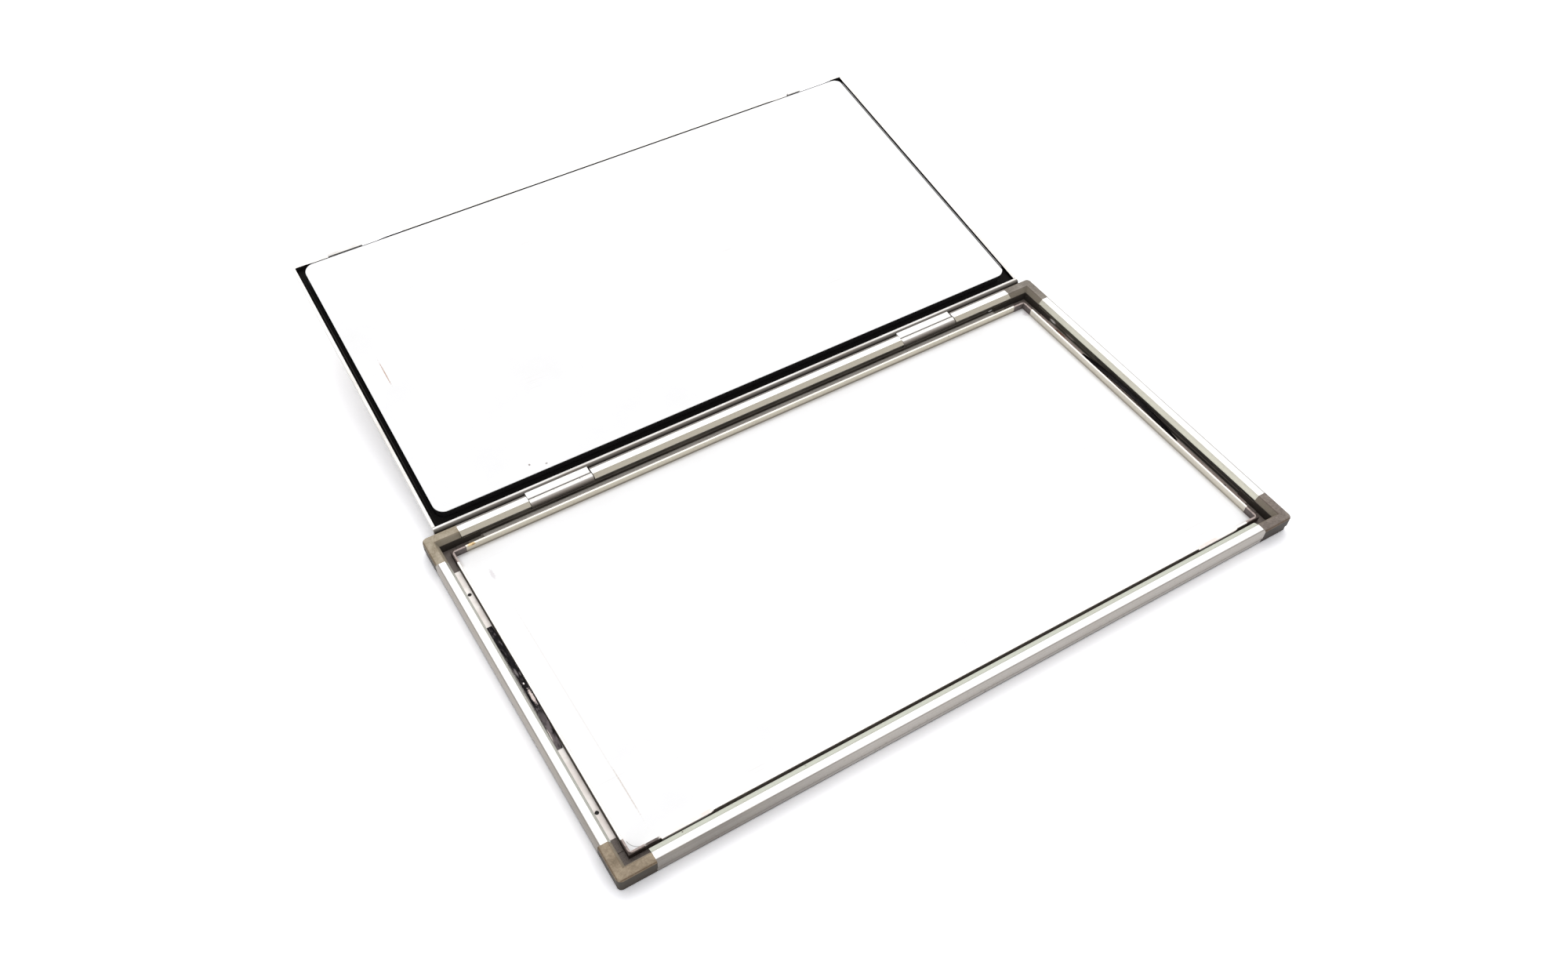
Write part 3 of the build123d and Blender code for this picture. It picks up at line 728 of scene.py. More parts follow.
@dataclass(frozen=True)
class LidSkin:
    """Folded sheet aluminium of the lid: satin, brushed, scuffed on its back, black inside, with the hinge rim's
    rounded outer face painted darker as shade.
    """

    name: str
    ground: Colour = srgb(222, 220, 217)
    shade: Colour = srgb(176, 170, 162)
    stain: Colour = srgb(120, 98, 76)
    lining: Colour = srgb(16, 14, 14)

    def material(self) -> bpy.types.Material:
        """The lid metal's material."""
        s = Shader(self.name, Space.LID)
        brushed = s.noise((0.015, 6.0, 6.0), 2.0)
        scuff = s.noise((0.9, 0.06, 0.5), 3.0, (4.0, 4.0, 1.0)) * s.noise((0.02, 0.02, 0.02), 2.0, (1.0, 6.0, 2.0))
        cloud = s.noise((0.03, 0.03, 0.03), 4.0, (3.0, 2.0, 9.0))
        # the hinge rim's rounded outer face: painted shade, darker further round
        outer = s.y.below(5.0, 0.3) * s.z.above(LID.back + 0.1, 0.2)
        inside = s.x.between(LID.left + 1.1, LID.right - 1.1) * s.y.between(5.8, LID.free - 1.1)
        lined = inside * s.z.between(LID.skin_top - 0.4, LID.rim_top - 0.1)
        colour = s.layers(
            self.ground,
            (cloud.above(0.52, 0.3) * 0.4, self.shade),
            (brushed.above(0.55, 0.4) * 0.25, self.shade),
            (scuff.above(0.36, 0.04) * 0.5, srgb(238, 238, 238)),
            # painted shade on the hinge rim's outer face
            (outer, srgb(140, 134, 126)),
            (outer * s.y.below(4.5, 1.1), srgb(76, 70, 62)),
            (outer * s.y.below(3.8, 0.8), srgb(26, 22, 17)),
            (lined, self.lining),
            (outer * s.y.above(4.4, 0.4) * cloud.above(0.55, 0.1) * 0.3, self.stain),
        )
        return s.surface(
            Base_Color=colour,
            Metallic=0.7 - 0.6 * outer,
            Roughness=0.32 + 0.2 * brushed + 0.1 * cloud,
            Normal=s.bump(brushed, 0.015, 0.5),
        )


@dataclass(frozen=True)
class HingePlate:
    """Bright hinge leaf and knuckle bar, painted darker round the knuckle's rounded front as shade, flecked along their
    seam.
    """

    ground: Colour = srgb(250, 248, 244)
    line: Colour = srgb(212, 205, 198)
    seam: Colour = srgb(104, 98, 91)
    # painted shade, darker step by step round the knuckle bar's rounded front and at its foot
    nose_shade: Colour = srgb(168, 160, 151)
    under_shade: Colour = srgb(118, 110, 101)
    low: Colour = srgb(64, 58, 50)
    fleck: Colour = srgb(58, 50, 44)

    def material(self) -> bpy.types.Material:
        """The hinges' material."""
        s = Shader("hinge_plate", Space.LID)
        y, z = s.y, s.z
        drawn = s.noise((0.02, 4.0, 4.0), 2.0)
        grain = s.noise((1.1, 2.0, 1.1), 4.0, (5.0, 2.0, 7.0), 0.65)
        by_seam = y.between(-0.9, 0.5, 0.5) * grain.above(0.62, 0.08)
        colour = s.layers(
            self.ground,
            (drawn.above(0.52, 0.4) * 0.2, self.line),
            (y.between(0.2, 0.75, 0.5), self.seam),
            (y.near(-0.45, 0.25) * 0.8, self.line),
            # painted shade round the knuckle bar's rounded front
            (y.below(-1.75, 0.5), self.nose_shade),
            (y.below(-2.45, 0.5), self.under_shade),
            (y.below(-2.95, 0.3).most(z.below(0.1, 0.6)), self.low),
            (by_seam * 0.8, self.fleck),
        )
        return s.surface(
            Base_Color=colour,
            Metallic=0.25 * y.above(-1.4, 0.4),
            Roughness=0.36 + 0.15 * drawn,
            Normal=s.bump(drawn, 0.015, 0.5),
        )


@dataclass(frozen=True)
class BluedSpring:
    """Blued spring steel: violet-black, mottled grey, worn bright where the lid rubs; the left spring's lower half has
    a painted grey reflection, and its streaks are partly wear, partly painted highlights.
    """

    ground: Colour = srgb(20, 17, 19)
    deep: Colour = srgb(6, 5, 6)
    # grey: painted reflection and highlights, and wear
    grey: Colour = srgb(118, 110, 111)
    worn: Colour = srgb(226, 206, 200)
    marks: tuple[Mark, ...] = ()

    def material(self) -> bpy.types.Material:
        """The springs' material."""
        s = Shader("blued_spring")
        streak = s.noise((1.6, 0.3, 1.6), 4.0, (2.0, 3.0, 1.0), 0.65)
        blotch = s.noise((0.4, 0.22, 0.4), 3.0, (7.0, 1.0, 4.0))
        left = s.x.below(0.0, 1.0)
        # streaks: partly wear, partly painted highlights, stronger on the left spring
        rubbed = (left * 0.85 + 0.15) * 0.55
        colour = s.layers(
            self.ground,
            (blotch.above(0.46, 0.2) * 0.8, self.deep),
            # painted reflection: grey on the left spring's lower half
            (left * s.y.below(-12.0, 12.0) * blotch.above(0.44, 0.2) * 0.8, self.grey),
            (streak.above(0.6, 0.12) * rubbed, self.grey),
            *((mark.mask(s), mark.colour) for mark in self.marks),
        )
        return s.surface(
            Base_Color=colour,
            Metallic=0.5,
            Roughness=0.32 + 0.25 * blotch,
            Specular_IOR_Level=0.08,
            Normal=s.bump(streak, 0.02, 0.5),
        )


@dataclass(frozen=True)
class Steel:
    """A bright, blued or dull steel fitting."""

    name: str
    space: Space
    ground: Colour
    shade: Colour
    rust: Colour = srgb(120, 74, 44)
    gloss: float = 0.3
    rusty: float = 0.72
    metal: float = 0.85
    # how far in from the frame's outer faces the fitting is painted dark as shade; 0 for none
    dark_from: float = 0.0
    dark: Colour = srgb(72, 66, 60)
    marks: tuple[Mark, ...] = ()

    def material(self) -> bpy.types.Material:
        """The fitting's material."""
        s = Shader(self.name, self.space)
        rolled = s.noise((1.6, 1.6, 1.6), 3.0, (2.0, 2.0, 5.0))
        cloud = s.noise((0.16, 0.16, 0.16), 4.0, (6.0, 1.0, 2.0))
        rust = (cloud * 0.6 + rolled * 0.4).above(self.rusty, 0.06)
        colour = s.layers(self.ground, (cloud.above(0.5, 0.3) * 0.7, self.shade), (rust, self.rust))
        # outer edge painted dark as shade, so it reads as part of the shaded channel
        if self.dark_from:
            colour = s.mix(s.from_edge().below(self.dark_from, 0.1), colour, self.dark)
        colour = s.layers(colour, *((mark.mask(s), mark.colour) for mark in self.marks))
        return s.surface(
            Base_Color=colour,
            Metallic=self.metal - 0.6 * rust,
            Roughness=self.gloss + 0.2 * cloud + 0.35 * rust,
            Normal=s.bump(rolled, 0.015, 0.5),
        )


@dataclass(frozen=True)
class PaintedPanel:
    """Front panel: dark grey paint on fine grained sheet, rubbed along its edges."""

    ground: Colour = srgb(58, 57, 58)
    rubbed: Colour = srgb(112, 108, 104)

    def material(self) -> bpy.types.Material:
        """The front panel's material."""
        s = Shader("painted_panel")
        grain = s.noise((2.2, 2.2, 2.2), 3.0)
        cloud = s.noise((0.04, 0.04, 0.04), 4.0, (5.0, 3.0, 3.0))
        scratch = s.noise((0.5, 0.02, 1.0), 2.0, (9.0, 1.0, 0.0)) * s.noise((0.03, 0.03, 0.03), 1.0, (2.0, 2.0, 2.0))
        edge = s.from_edge().below(10.5, 2.5) * grain.above(0.48, 0.2)
        colour = s.layers(
            self.ground,
            (cloud.above(0.5, 0.3) * 0.25, srgb(74, 72, 70)),
            (scratch.above(0.4, 0.03) * 0.6, self.rubbed),
            (edge * 0.7, self.rubbed),
        )
        return s.surface(
            Base_Color=colour,
            Roughness=0.5 + 0.15 * grain,
            Specular_IOR_Level=0.4,
            Normal=s.bump(grain, 0.03, 0.7),
        )


@dataclass(frozen=True)
class Foam:
    """Charcoal open-cell foam."""

    ground: Colour = srgb(36, 34, 35)
    pore: Colour = srgb(12, 11, 11)

    def material(self) -> bpy.types.Material:
        """The foam's material."""
        s = Shader("open_cell_foam", Space.LID)
        cell = s.cells((2.2, 2.2, 2.2))
        fine = s.noise((5.0, 5.0, 5.0), 3.0)
        colour = s.layers(self.ground, (cell.below(0.35, 0.2), self.pore), (fine.above(0.6, 0.2) * 0.4, srgb(60, 57, 56)))
        return s.surface(
            Base_Color=colour,
            Roughness=0.92,
            Specular_IOR_Level=0.1,
            Normal=s.bump(cell * 0.7 + fine * 0.3, 0.25, 0.8),
        )


@dataclass(frozen=True)
class Grip:
    """Black moulded latch knob with rubbed ribs."""

    ground: Colour = srgb(40, 39, 40)
    rubbed: Colour = srgb(96, 93, 90)

    def material(self) -> bpy.types.Material:
        """The knobs' material."""
        s = Shader("latch_grip", Space.LID)
        grain = s.noise((2.6, 2.6, 2.6), 3.0)
        cloud = s.noise((0.3, 0.3, 0.3), 3.0, (2.0, 1.0, 4.0))
        worn = s.z.below(LID.back - 1.3, 0.3) * cloud.above(0.5, 0.2)
        colour = s.layers(self.ground, (worn * 0.5, self.rubbed), (grain.above(0.6, 0.2) * 0.2, self.rubbed))
        return s.surface(
            Base_Color=colour,
            Roughness=0.45 + 0.2 * grain - 0.1 * worn,
            Specular_IOR_Level=0.45,
            Normal=s.bump(grain, 0.03, 0.5),
        )


def dress(names: Iterable[str], nodes: dict[str, bpy.types.Object], material: bpy.types.Material) -> None:
    """Gives CAD nodes a material through their objects' slots.

    Args:
        names: the nodes' names.
        nodes: all CAD nodes by name.
        material: the material.
    """
    for name in names:
        piece = nodes[name]
        if not piece.material_slots:
            piece.data.materials.append(None)
        for part in piece.material_slots:
            part.material = material
        LOG.info("%s: %s", name, material.name)


# ------------------------------------------------------------------ modelling by hand
class Bench:
    """One mesh on the bench, shaped with Blender's own operators."""

    def __init__(self, name: str, add: Callable[..., Any], **settings: Any) -> None:
        """Adds a primitive and starts to edit it.

        Args:
            name: the piece's name.
            add: the operator that adds the primitive.
            settings: the operator's settings.
        """
        if bpy.context.object and bpy.context.object.mode != "OBJECT":
            bpy.ops.object.mode_set(mode="OBJECT")
        bpy.ops.object.select_all(action="DESELECT")
        add(**settings)
        self.piece = bpy.context.object
        self.piece.name = self.piece.data.name = name
        bpy.ops.object.transform_apply(location=True, rotation=True, scale=True)

    def edit(self, mode: str) -> None:
        """Opens edit mode with nothing selected, in vertex, edge or face mode."""
        bpy.ops.object.mode_set(mode="EDIT")
        bpy.ops.mesh.select_mode(type=mode)
        bpy.ops.mesh.select_all(action="DESELECT")

    def pick(self, kind: str, wanted: Callable[[Any], bool]) -> int:
        """Selects vertices, edges or faces by a test, and returns to edit mode.

        Args:
            kind: "VERT", "EDGE" or "FACE".
            wanted: the test, on the middle of an edge or face or on a vertex's place, in
                millimetres, with the element's direction or normal second.

        Returns:
            How many were selected.
        """
        self.edit(kind)
        bpy.ops.object.mode_set(mode="OBJECT")
        mesh = self.piece.data
        found = 0
        spots = [vertex.co / MM for vertex in mesh.vertices]
        rows = {"VERT": mesh.vertices, "EDGE": mesh.edges, "FACE": mesh.polygons}[kind]
        for row in rows:
            if kind == "VERT":
                place, along = spots[row.index], row.normal
            elif kind == "EDGE":
                first, last = (spots[i] for i in row.vertices)
                place, along = (first + last) / 2, (last - first).normalized()
            else:
                place, along = row.center / MM, row.normal
            if wanted(place, along):
                row.select = True
                found += 1
        bpy.ops.object.mode_set(mode="EDIT")
        return found

    def done(self, *modifiers: tuple[str, dict[str, Any]], smooth: float = 35.0) -> bpy.types.Object:
        """Leaves edit mode, applies modifiers and shades the piece.

        Args:
            modifiers: pairs of a modifier's type and its settings.
            smooth: angle in degrees below which edges shade smooth.

        Returns:
            The finished object.
        """
        if self.piece.mode != "OBJECT":
            bpy.ops.object.mode_set(mode="OBJECT")
        bpy.ops.object.select_all(action="DESELECT")
        self.piece.select_set(True)
        bpy.context.view_layer.objects.active = self.piece
        for kind, settings in modifiers:
            made = self.piece.modifiers.new(kind.title(), kind)
            for key, value in settings.items():
                setattr(made, key, value)
            bpy.ops.object.modifier_apply(modifier=made.name)
        bpy.ops.object.shade_smooth_by_angle(angle=math.radians(smooth))
        return self.piece

    def place(self, matrix: Matrix) -> None:
        """Moves the mesh by a matrix, with the object left at the origin."""
        if self.piece.mode != "OBJECT":
            bpy.ops.object.mode_set(mode="OBJECT")
        bpy.ops.object.select_all(action="DESELECT")
        self.piece.select_set(True)
        bpy.context.view_layer.objects.active = self.piece
        self.piece.matrix_world = matrix
        bpy.ops.object.transform_apply(location=True, rotation=True, scale=True)


# ------------------------------------------------------------------ sub-assemblies
@dataclass
class CassetteFrame:
    """Rails, moulded corners, front panel, its screen, and the channel seals."""

    nodes: dict[str, bpy.types.Object]
    long_eave: tuple[float, float] = (6.4, 7.03)
    short_eave: tuple[float, float] = (5.5, 6.0)

    def build(self) -> None:
        """Dresses the frame's CAD nodes."""
        for side, finish in self.rails().items():
            dress((f"rail_{side}",), self.nodes, finish.material())
        for place, finish in self.mouldings().items():
            dress((f"corner_{place}",), self.nodes, finish.material())
        dress(("front_panel",), self.nodes, PaintedPanel().material())
        dress(("front_screen",), self.nodes, self.screen().material())
        felt = Pile("channel_felt", Space.FRAME, srgb(240, 234, 224), srgb(250, 246, 240), srgb(206, 198, 186))
        dress(("channel_seal_near", "channel_seal_hinge"), self.nodes, felt.material())
        steel = Steel("bright_strip", Space.FRAME, srgb(252, 246, 240), srgb(232, 221, 213), metal=0.25, gloss=0.34)
        dress(("spring_strip_left",), self.nodes, steel.material())
        rust = srgb(132, 78, 54)
        stains = (
            Mark((153.6, 53.0, 1.7), (1.6, 4.2, 0.6), rust, 0.8, 1.8),
            Mark((153.4, 71.0, 1.7), (1.2, 3.0, 0.6), rust, 0.4, 1.8),
        )
        dull = replace(steel, name="dull_strip", ground=srgb(206, 190, 182), shade=srgb(158, 140, 130), marks=stains)
        dress(("spring_strip_right",), self.nodes, dull.material())
        # catches: their outer 0.45 mm painted dark as shade
        dress(("catch_left", "catch_right"), self.nodes, replace(steel, name="catch_steel", dark_from=8.5).material())

    def rails(self) -> dict[str, SatinRail]:
        """The four rails' finishes, each with its own scratches and dirt; their side, chamfer, lip, rounded-edge and
        wall tones are lighter or darker copies that paint how light falls on each rail.
        """
        dirt, pale = srgb(92, 82, 70), srgb(250, 249, 246)
        # near black, painted as shade on the floor seen through the strips' holes; also small dark spots in the hinge
        # and right channels
        hole = srgb(28, 24, 22)
        near = (
            Mark((-5.2, -82.3, 7.6), (1.6, 0.12, 0.5), dirt, 0.7),
            Mark((0.0, -86.7, 1.3), (0.35, 0.6, 0.8), srgb(70, 66, 62), 0.85, 0.7),
            Mark((0.6, -86.4, 5.6), (1.6, 0.9, 0.18), pale, 0.3),
            Mark((-79.2, -81.6, 6.4), (0.9, 1.2, 1.2), srgb(60, 52, 46), 1.0, 0.6),
            Mark((-131.1, -80.9, 7.2), (0.35, 0.35, 0.6), dirt, 1.0, 0.4),
            Mark((-141.6, -77.3, 4.1), (3.9, 1.2, 0.8), srgb(64, 52, 48), 0.95, 0.5),
        )
        hinge = (
            Mark((-142.0, 77.1, 4.0), (1.9, 1.1, 0.9), srgb(226, 196, 142), 0.9),
            Mark((-141.0, 76.9, 3.8), (1.1, 0.6, 0.5), srgb(150, 112, 66), 0.6),
            Mark((105.1, 76.5, 3.9), (0.6, 0.4, 0.5), dirt, 0.8),
            Mark((99.5, 76.5, 3.7), (0.4, 0.4, 0.3), dirt, 0.7),
            Mark((134.2, 81.85, 2.5), (3.0, 0.4, 1.0), hole, 0.9, 0.4),
            Mark((134.0, 81.85, 2.5), (1.4, 0.4, 0.55), pale, 0.95, 0.3),
        )
        left = (
            # painted shade: the floor below the strip's holes
            Mark((-152.82, -56.5, 1.4), (1.3, 1.3, 0.1), hole, 1.0, 0.2),
            Mark((-152.82, 55.3, 1.4), (1.3, 1.3, 0.1), hole, 1.0, 0.2),
            Mark((-159.8, -20.0, 4.0), (0.4, 1.2, 0.6), dirt, 0.6),
            Mark((-159.8, -50.6, 4.2), (0.4, 0.9, 0.5), dirt, 0.7),
        )
        right = (
            # painted shade: the floor below the strip's holes
            Mark((152.82, -56.5, 1.4), (1.3, 1.3, 0.1), hole, 1.0, 0.2),
            Mark((152.82, 55.3, 1.4), (1.3, 1.3, 0.1), hole, 1.0, 0.2),
            Mark((154.9, -77.0, 7.9), (0.12, 7.0, 0.4), srgb(150, 144, 136), 0.7, 0.5),
            Mark((155.1, 60.6, 2.7), (0.4, 2.2, 0.8), pale, 0.95, 0.4),
            Mark((155.1, 64.4, 2.6), (0.4, 1.6, 1.0), hole, 0.95, 0.4),
            Mark((155.1, 48.0, 2.5), (0.4, 3.4, 0.5), srgb(176, 166, 160), 0.85, 0.5),
        )
        # near and left rails: lip face and its foot painted white as painted light, so that they brighten the screen
        # beside them
        white = {"lip_inner": srgb(248, 246, 242), "foot": srgb(238, 235, 230)}
        return {
            "near": SatinRail(
                "satin_rail_near",
                Run.LONG,
                self.long_eave,
                # a lighter copy of the side tone: painted light on this rail's outer face
                side=srgb(200, 194, 187),
                # darker towards its left end
                darker_end=lambda s: s.x.below(-88.0, 60.0) * 0.62,
                marks=near,
                **white,
            ),
            "hinge": SatinRail(
                "satin_rail_hinge",
                Run.LONG,
                self.long_eave,
                # copies of the chamfer, lip and foot tones for how light falls on this rail
                slope=srgb(182, 175, 159),
                slope_top=srgb(178, 171, 156),
                lip=srgb(244, 239, 228),
                lip_inner=srgb(234, 226, 206),
                foot=srgb(146, 138, 124),
                lip_round=0.0,
                marks=hinge,
            ),
            "left": SatinRail(
                "satin_rail_left",
                Run.SHORT,
                self.short_eave,
                # lighter copies of the side and chamfer tones, painted light; the line of painted shade sits higher on
                # this rail
                side=srgb(190, 183, 174),
                shade_line=6.3,
                slope=srgb(204, 205, 196),
                slope_top=srgb(196, 195, 186),
                # darker towards its near end
                darker_end=lambda s: s.y.below(-45.0, 40.0) * 0.35,
                marks=left,
                **white,
            ),
            "right": SatinRail(
                "satin_rail_right",
                Run.SHORT,
                self.short_eave,
                # copies for how light falls on this rail: a painted highlight on the rounded top edge, lighter chamfer
                # and lip faces
                arris=srgb(226, 226, 224),
                slope=srgb(232, 230, 213),
                slope_top=srgb(226, 223, 208),
                # a darker copy of the channel wall's painted shade, lighter far along the rail
                wall=srgb(20, 19, 16),
                wall_grey=lambda s: s.y.above(30.0, 2.0),
                lip=srgb(246, 240, 232),
                lip_inner=srgb(242, 236, 220),
                foot=srgb(192, 184, 170),
                lip_round=0.0,
                marks=right,
            ),
        }

    def mouldings(self) -> dict[str, MottledMoulding]:
        """The four corners' finishes, lighter and darker copies of one mottle that paint how light falls on each
        corner.
        """
        return {
            "near_left": MottledMoulding(
                "moulding_near_left", srgb(172, 156, 132), srgb(150, 134, 112), srgb(120, 106, 85), specks=0.8
            ),
            "near_right": MottledMoulding(
                "moulding_near_right", srgb(148, 137, 127), srgb(127, 116, 107), srgb(102, 92, 84)
            ),
            "hinge_left": MottledMoulding(
                "moulding_hinge_left", srgb(188, 176, 156), srgb(170, 158, 136), srgb(140, 127, 105)
            ),
            "hinge_right": MottledMoulding(
                "moulding_hinge_right", srgb(150, 142, 131), srgb(134, 126, 115), srgb(112, 104, 94)
            ),
        }

    def screen(self) -> ScreenCard:
        """The front screen's finish, with its crease and smudges."""
        crease, smudge = srgb(228, 222, 214), srgb(214, 206, 208)
        marks = (
            Mark((-139.6, -8.0, 1.15), (0.28, 58.0, 1.0), crease, 0.35, 1.8),
            Mark((-139.4, -54.0, 1.15), (0.26, 12.0, 1.0), srgb(206, 190, 176), 0.6, 1.6),
            Mark((-140.3, 60.5, 1.15), (0.9, 3.0, 1.0), smudge, 0.5, 1.6),
            Mark((148.4, 72.6, 1.15), (1.6, 1.6, 1.0), smudge, 0.6, 1.6),
        )
        return ScreenCard("front_screen_card", Space.FRAME, marks=marks)


@dataclass
class LeafSprings:
    """The two bowed leaf springs in the short channels."""

    middle_y: float = 5.1
    half_bow: float = 31.5
    foot: float = 3.0
    seat: float = 1.7
    rise: float = 2.95
    thickness: float = 0.35
    width: float = 2.3
    inner: float = 6.2
    steps: int = 28
    give: float = 0.8
    finish: BluedSpring = field(
        default_factory=lambda: BluedSpring(
            marks=(
                Mark((-152.3, -2.6, 4.7), (0.7, 4.0, 1.0), srgb(216, 202, 196), 0.8, 1.8),
                Mark((-152.65, 4.1, 4.9), (0.3, 0.5, 1.0), srgb(236, 230, 226), 0.9, 0.6),
                # painted highlights: a grey one on the bow's top and a bright streak along the bent edge near its end
                Mark((-153.1, 10.0, 5.0), (0.5, 2.2, 1.0), srgb(120, 114, 114), 0.7, 1.4),
                Mark((-153.7, -20.2, 2.8), (0.35, 3.4, 1.2), srgb(226, 214, 206), 0.8, 1.2),
            )
        )
    )

    def build(self) -> None:
        """Models one spring and copies it to the other side."""
        first = self.shape("spring_leaf_left")
        other = first.copy()
        other.data = first.data.copy()
        other.name = other.data.name = "spring_leaf_right"
        bpy.context.scene.collection.objects.link(other)
        material = self.finish.material()
        shift = FRAME.half_length - self.inner - self.width / 2
        for piece, side, sign in ((first, "left", -1), (other, "right", 1)):
            piece.data.transform(Matrix.Translation((sign * shift * MM, self.middle_y * MM, self.seat * MM)))
            piece.data.materials.append(material)
            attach(piece, "frame")
            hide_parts(f"leaf_spring_{side}")
            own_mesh(piece)
            LOG.info("%s: bow of %.1f mm", piece.name, 2 * self.half_bow)

    def shape(self, name: str) -> bpy.types.Object:
        """One spring about the middle of its bow, its feet at height 0.

        Args:
            name: the piece's name.

        Returns:
            The object.
        """
        radius = (self.half_bow**2 + self.rise**2) / (2 * self.rise)
        turn = math.asin(self.half_bow / radius)
        bench = Bench(
            name,
            bpy.ops.mesh.primitive_plane_add,
            size=MM,
            location=(0, 0, (self.rise + self.thickness / 2) * MM),
            rotation=(math.pi / 2, 0, 0),
        )
        bench.edit("FACE")
        bpy.ops.mesh.select_all(action="SELECT")
        bpy.ops.transform.resize(value=(self.width, 1.0, self.thickness))
        bpy.ops.mesh.spin(
            steps=self.steps, angle=-turn, center=(0, 0, (self.rise - radius) * MM), axis=(1, 0, 0), use_auto_merge=False
        )
        bench.pick("FACE", lambda at, normal: at.y > self.half_bow - 0.3 and abs(normal.x) < 0.5 and abs(normal.z) < 0.5)
        bpy.ops.mesh.extrude_region_move(TRANSFORM_OT_translate={"value": (0, self.foot * MM, 0)})
        bpy.ops.transform.resize(value=(1.0, 0.0, 1.0))
        bench.pick("FACE", lambda at, normal: at.y < 0.01 and abs(normal.y) > 0.9)
        bpy.ops.mesh.delete(type="FACE")
        bench.edit("FACE")
        bpy.ops.mesh.select_all(action="SELECT")
        bpy.ops.mesh.remove_doubles(threshold=1e-6)
        bench.done(("MIRROR", {"use_axis": (False, True, False), "use_clip": True, "merge_threshold": 1e-5}))
        bench.edit("FACE")
        bpy.ops.mesh.select_all(action="SELECT")
        bpy.ops.mesh.normals_make_consistent(inside=False)
        return bench.done(("BEVEL", {"width": 0.07 * MM, "segments": 2, "limit_method": "ANGLE", "angle_limit": 0.6}))


@dataclass
class Hinges:
    """The two hinges' pins, leaves and knuckle bars."""

    nodes: dict[str, bpy.types.Object]

    def build(self) -> None:
        """Dresses the hinges' CAD nodes."""
        plate = HingePlate().material()
        dress([f"hinge_{kind}_{side}" for kind in ("leaf", "knuckle") for side in ("left", "right")], self.nodes, plate)
        pin = Steel("pin_steel", Space.FRAME, srgb(170, 166, 160), srgb(110, 104, 98), gloss=0.28).material()
        dress(("hinge_pin_left", "hinge_pin_right"), self.nodes, pin)


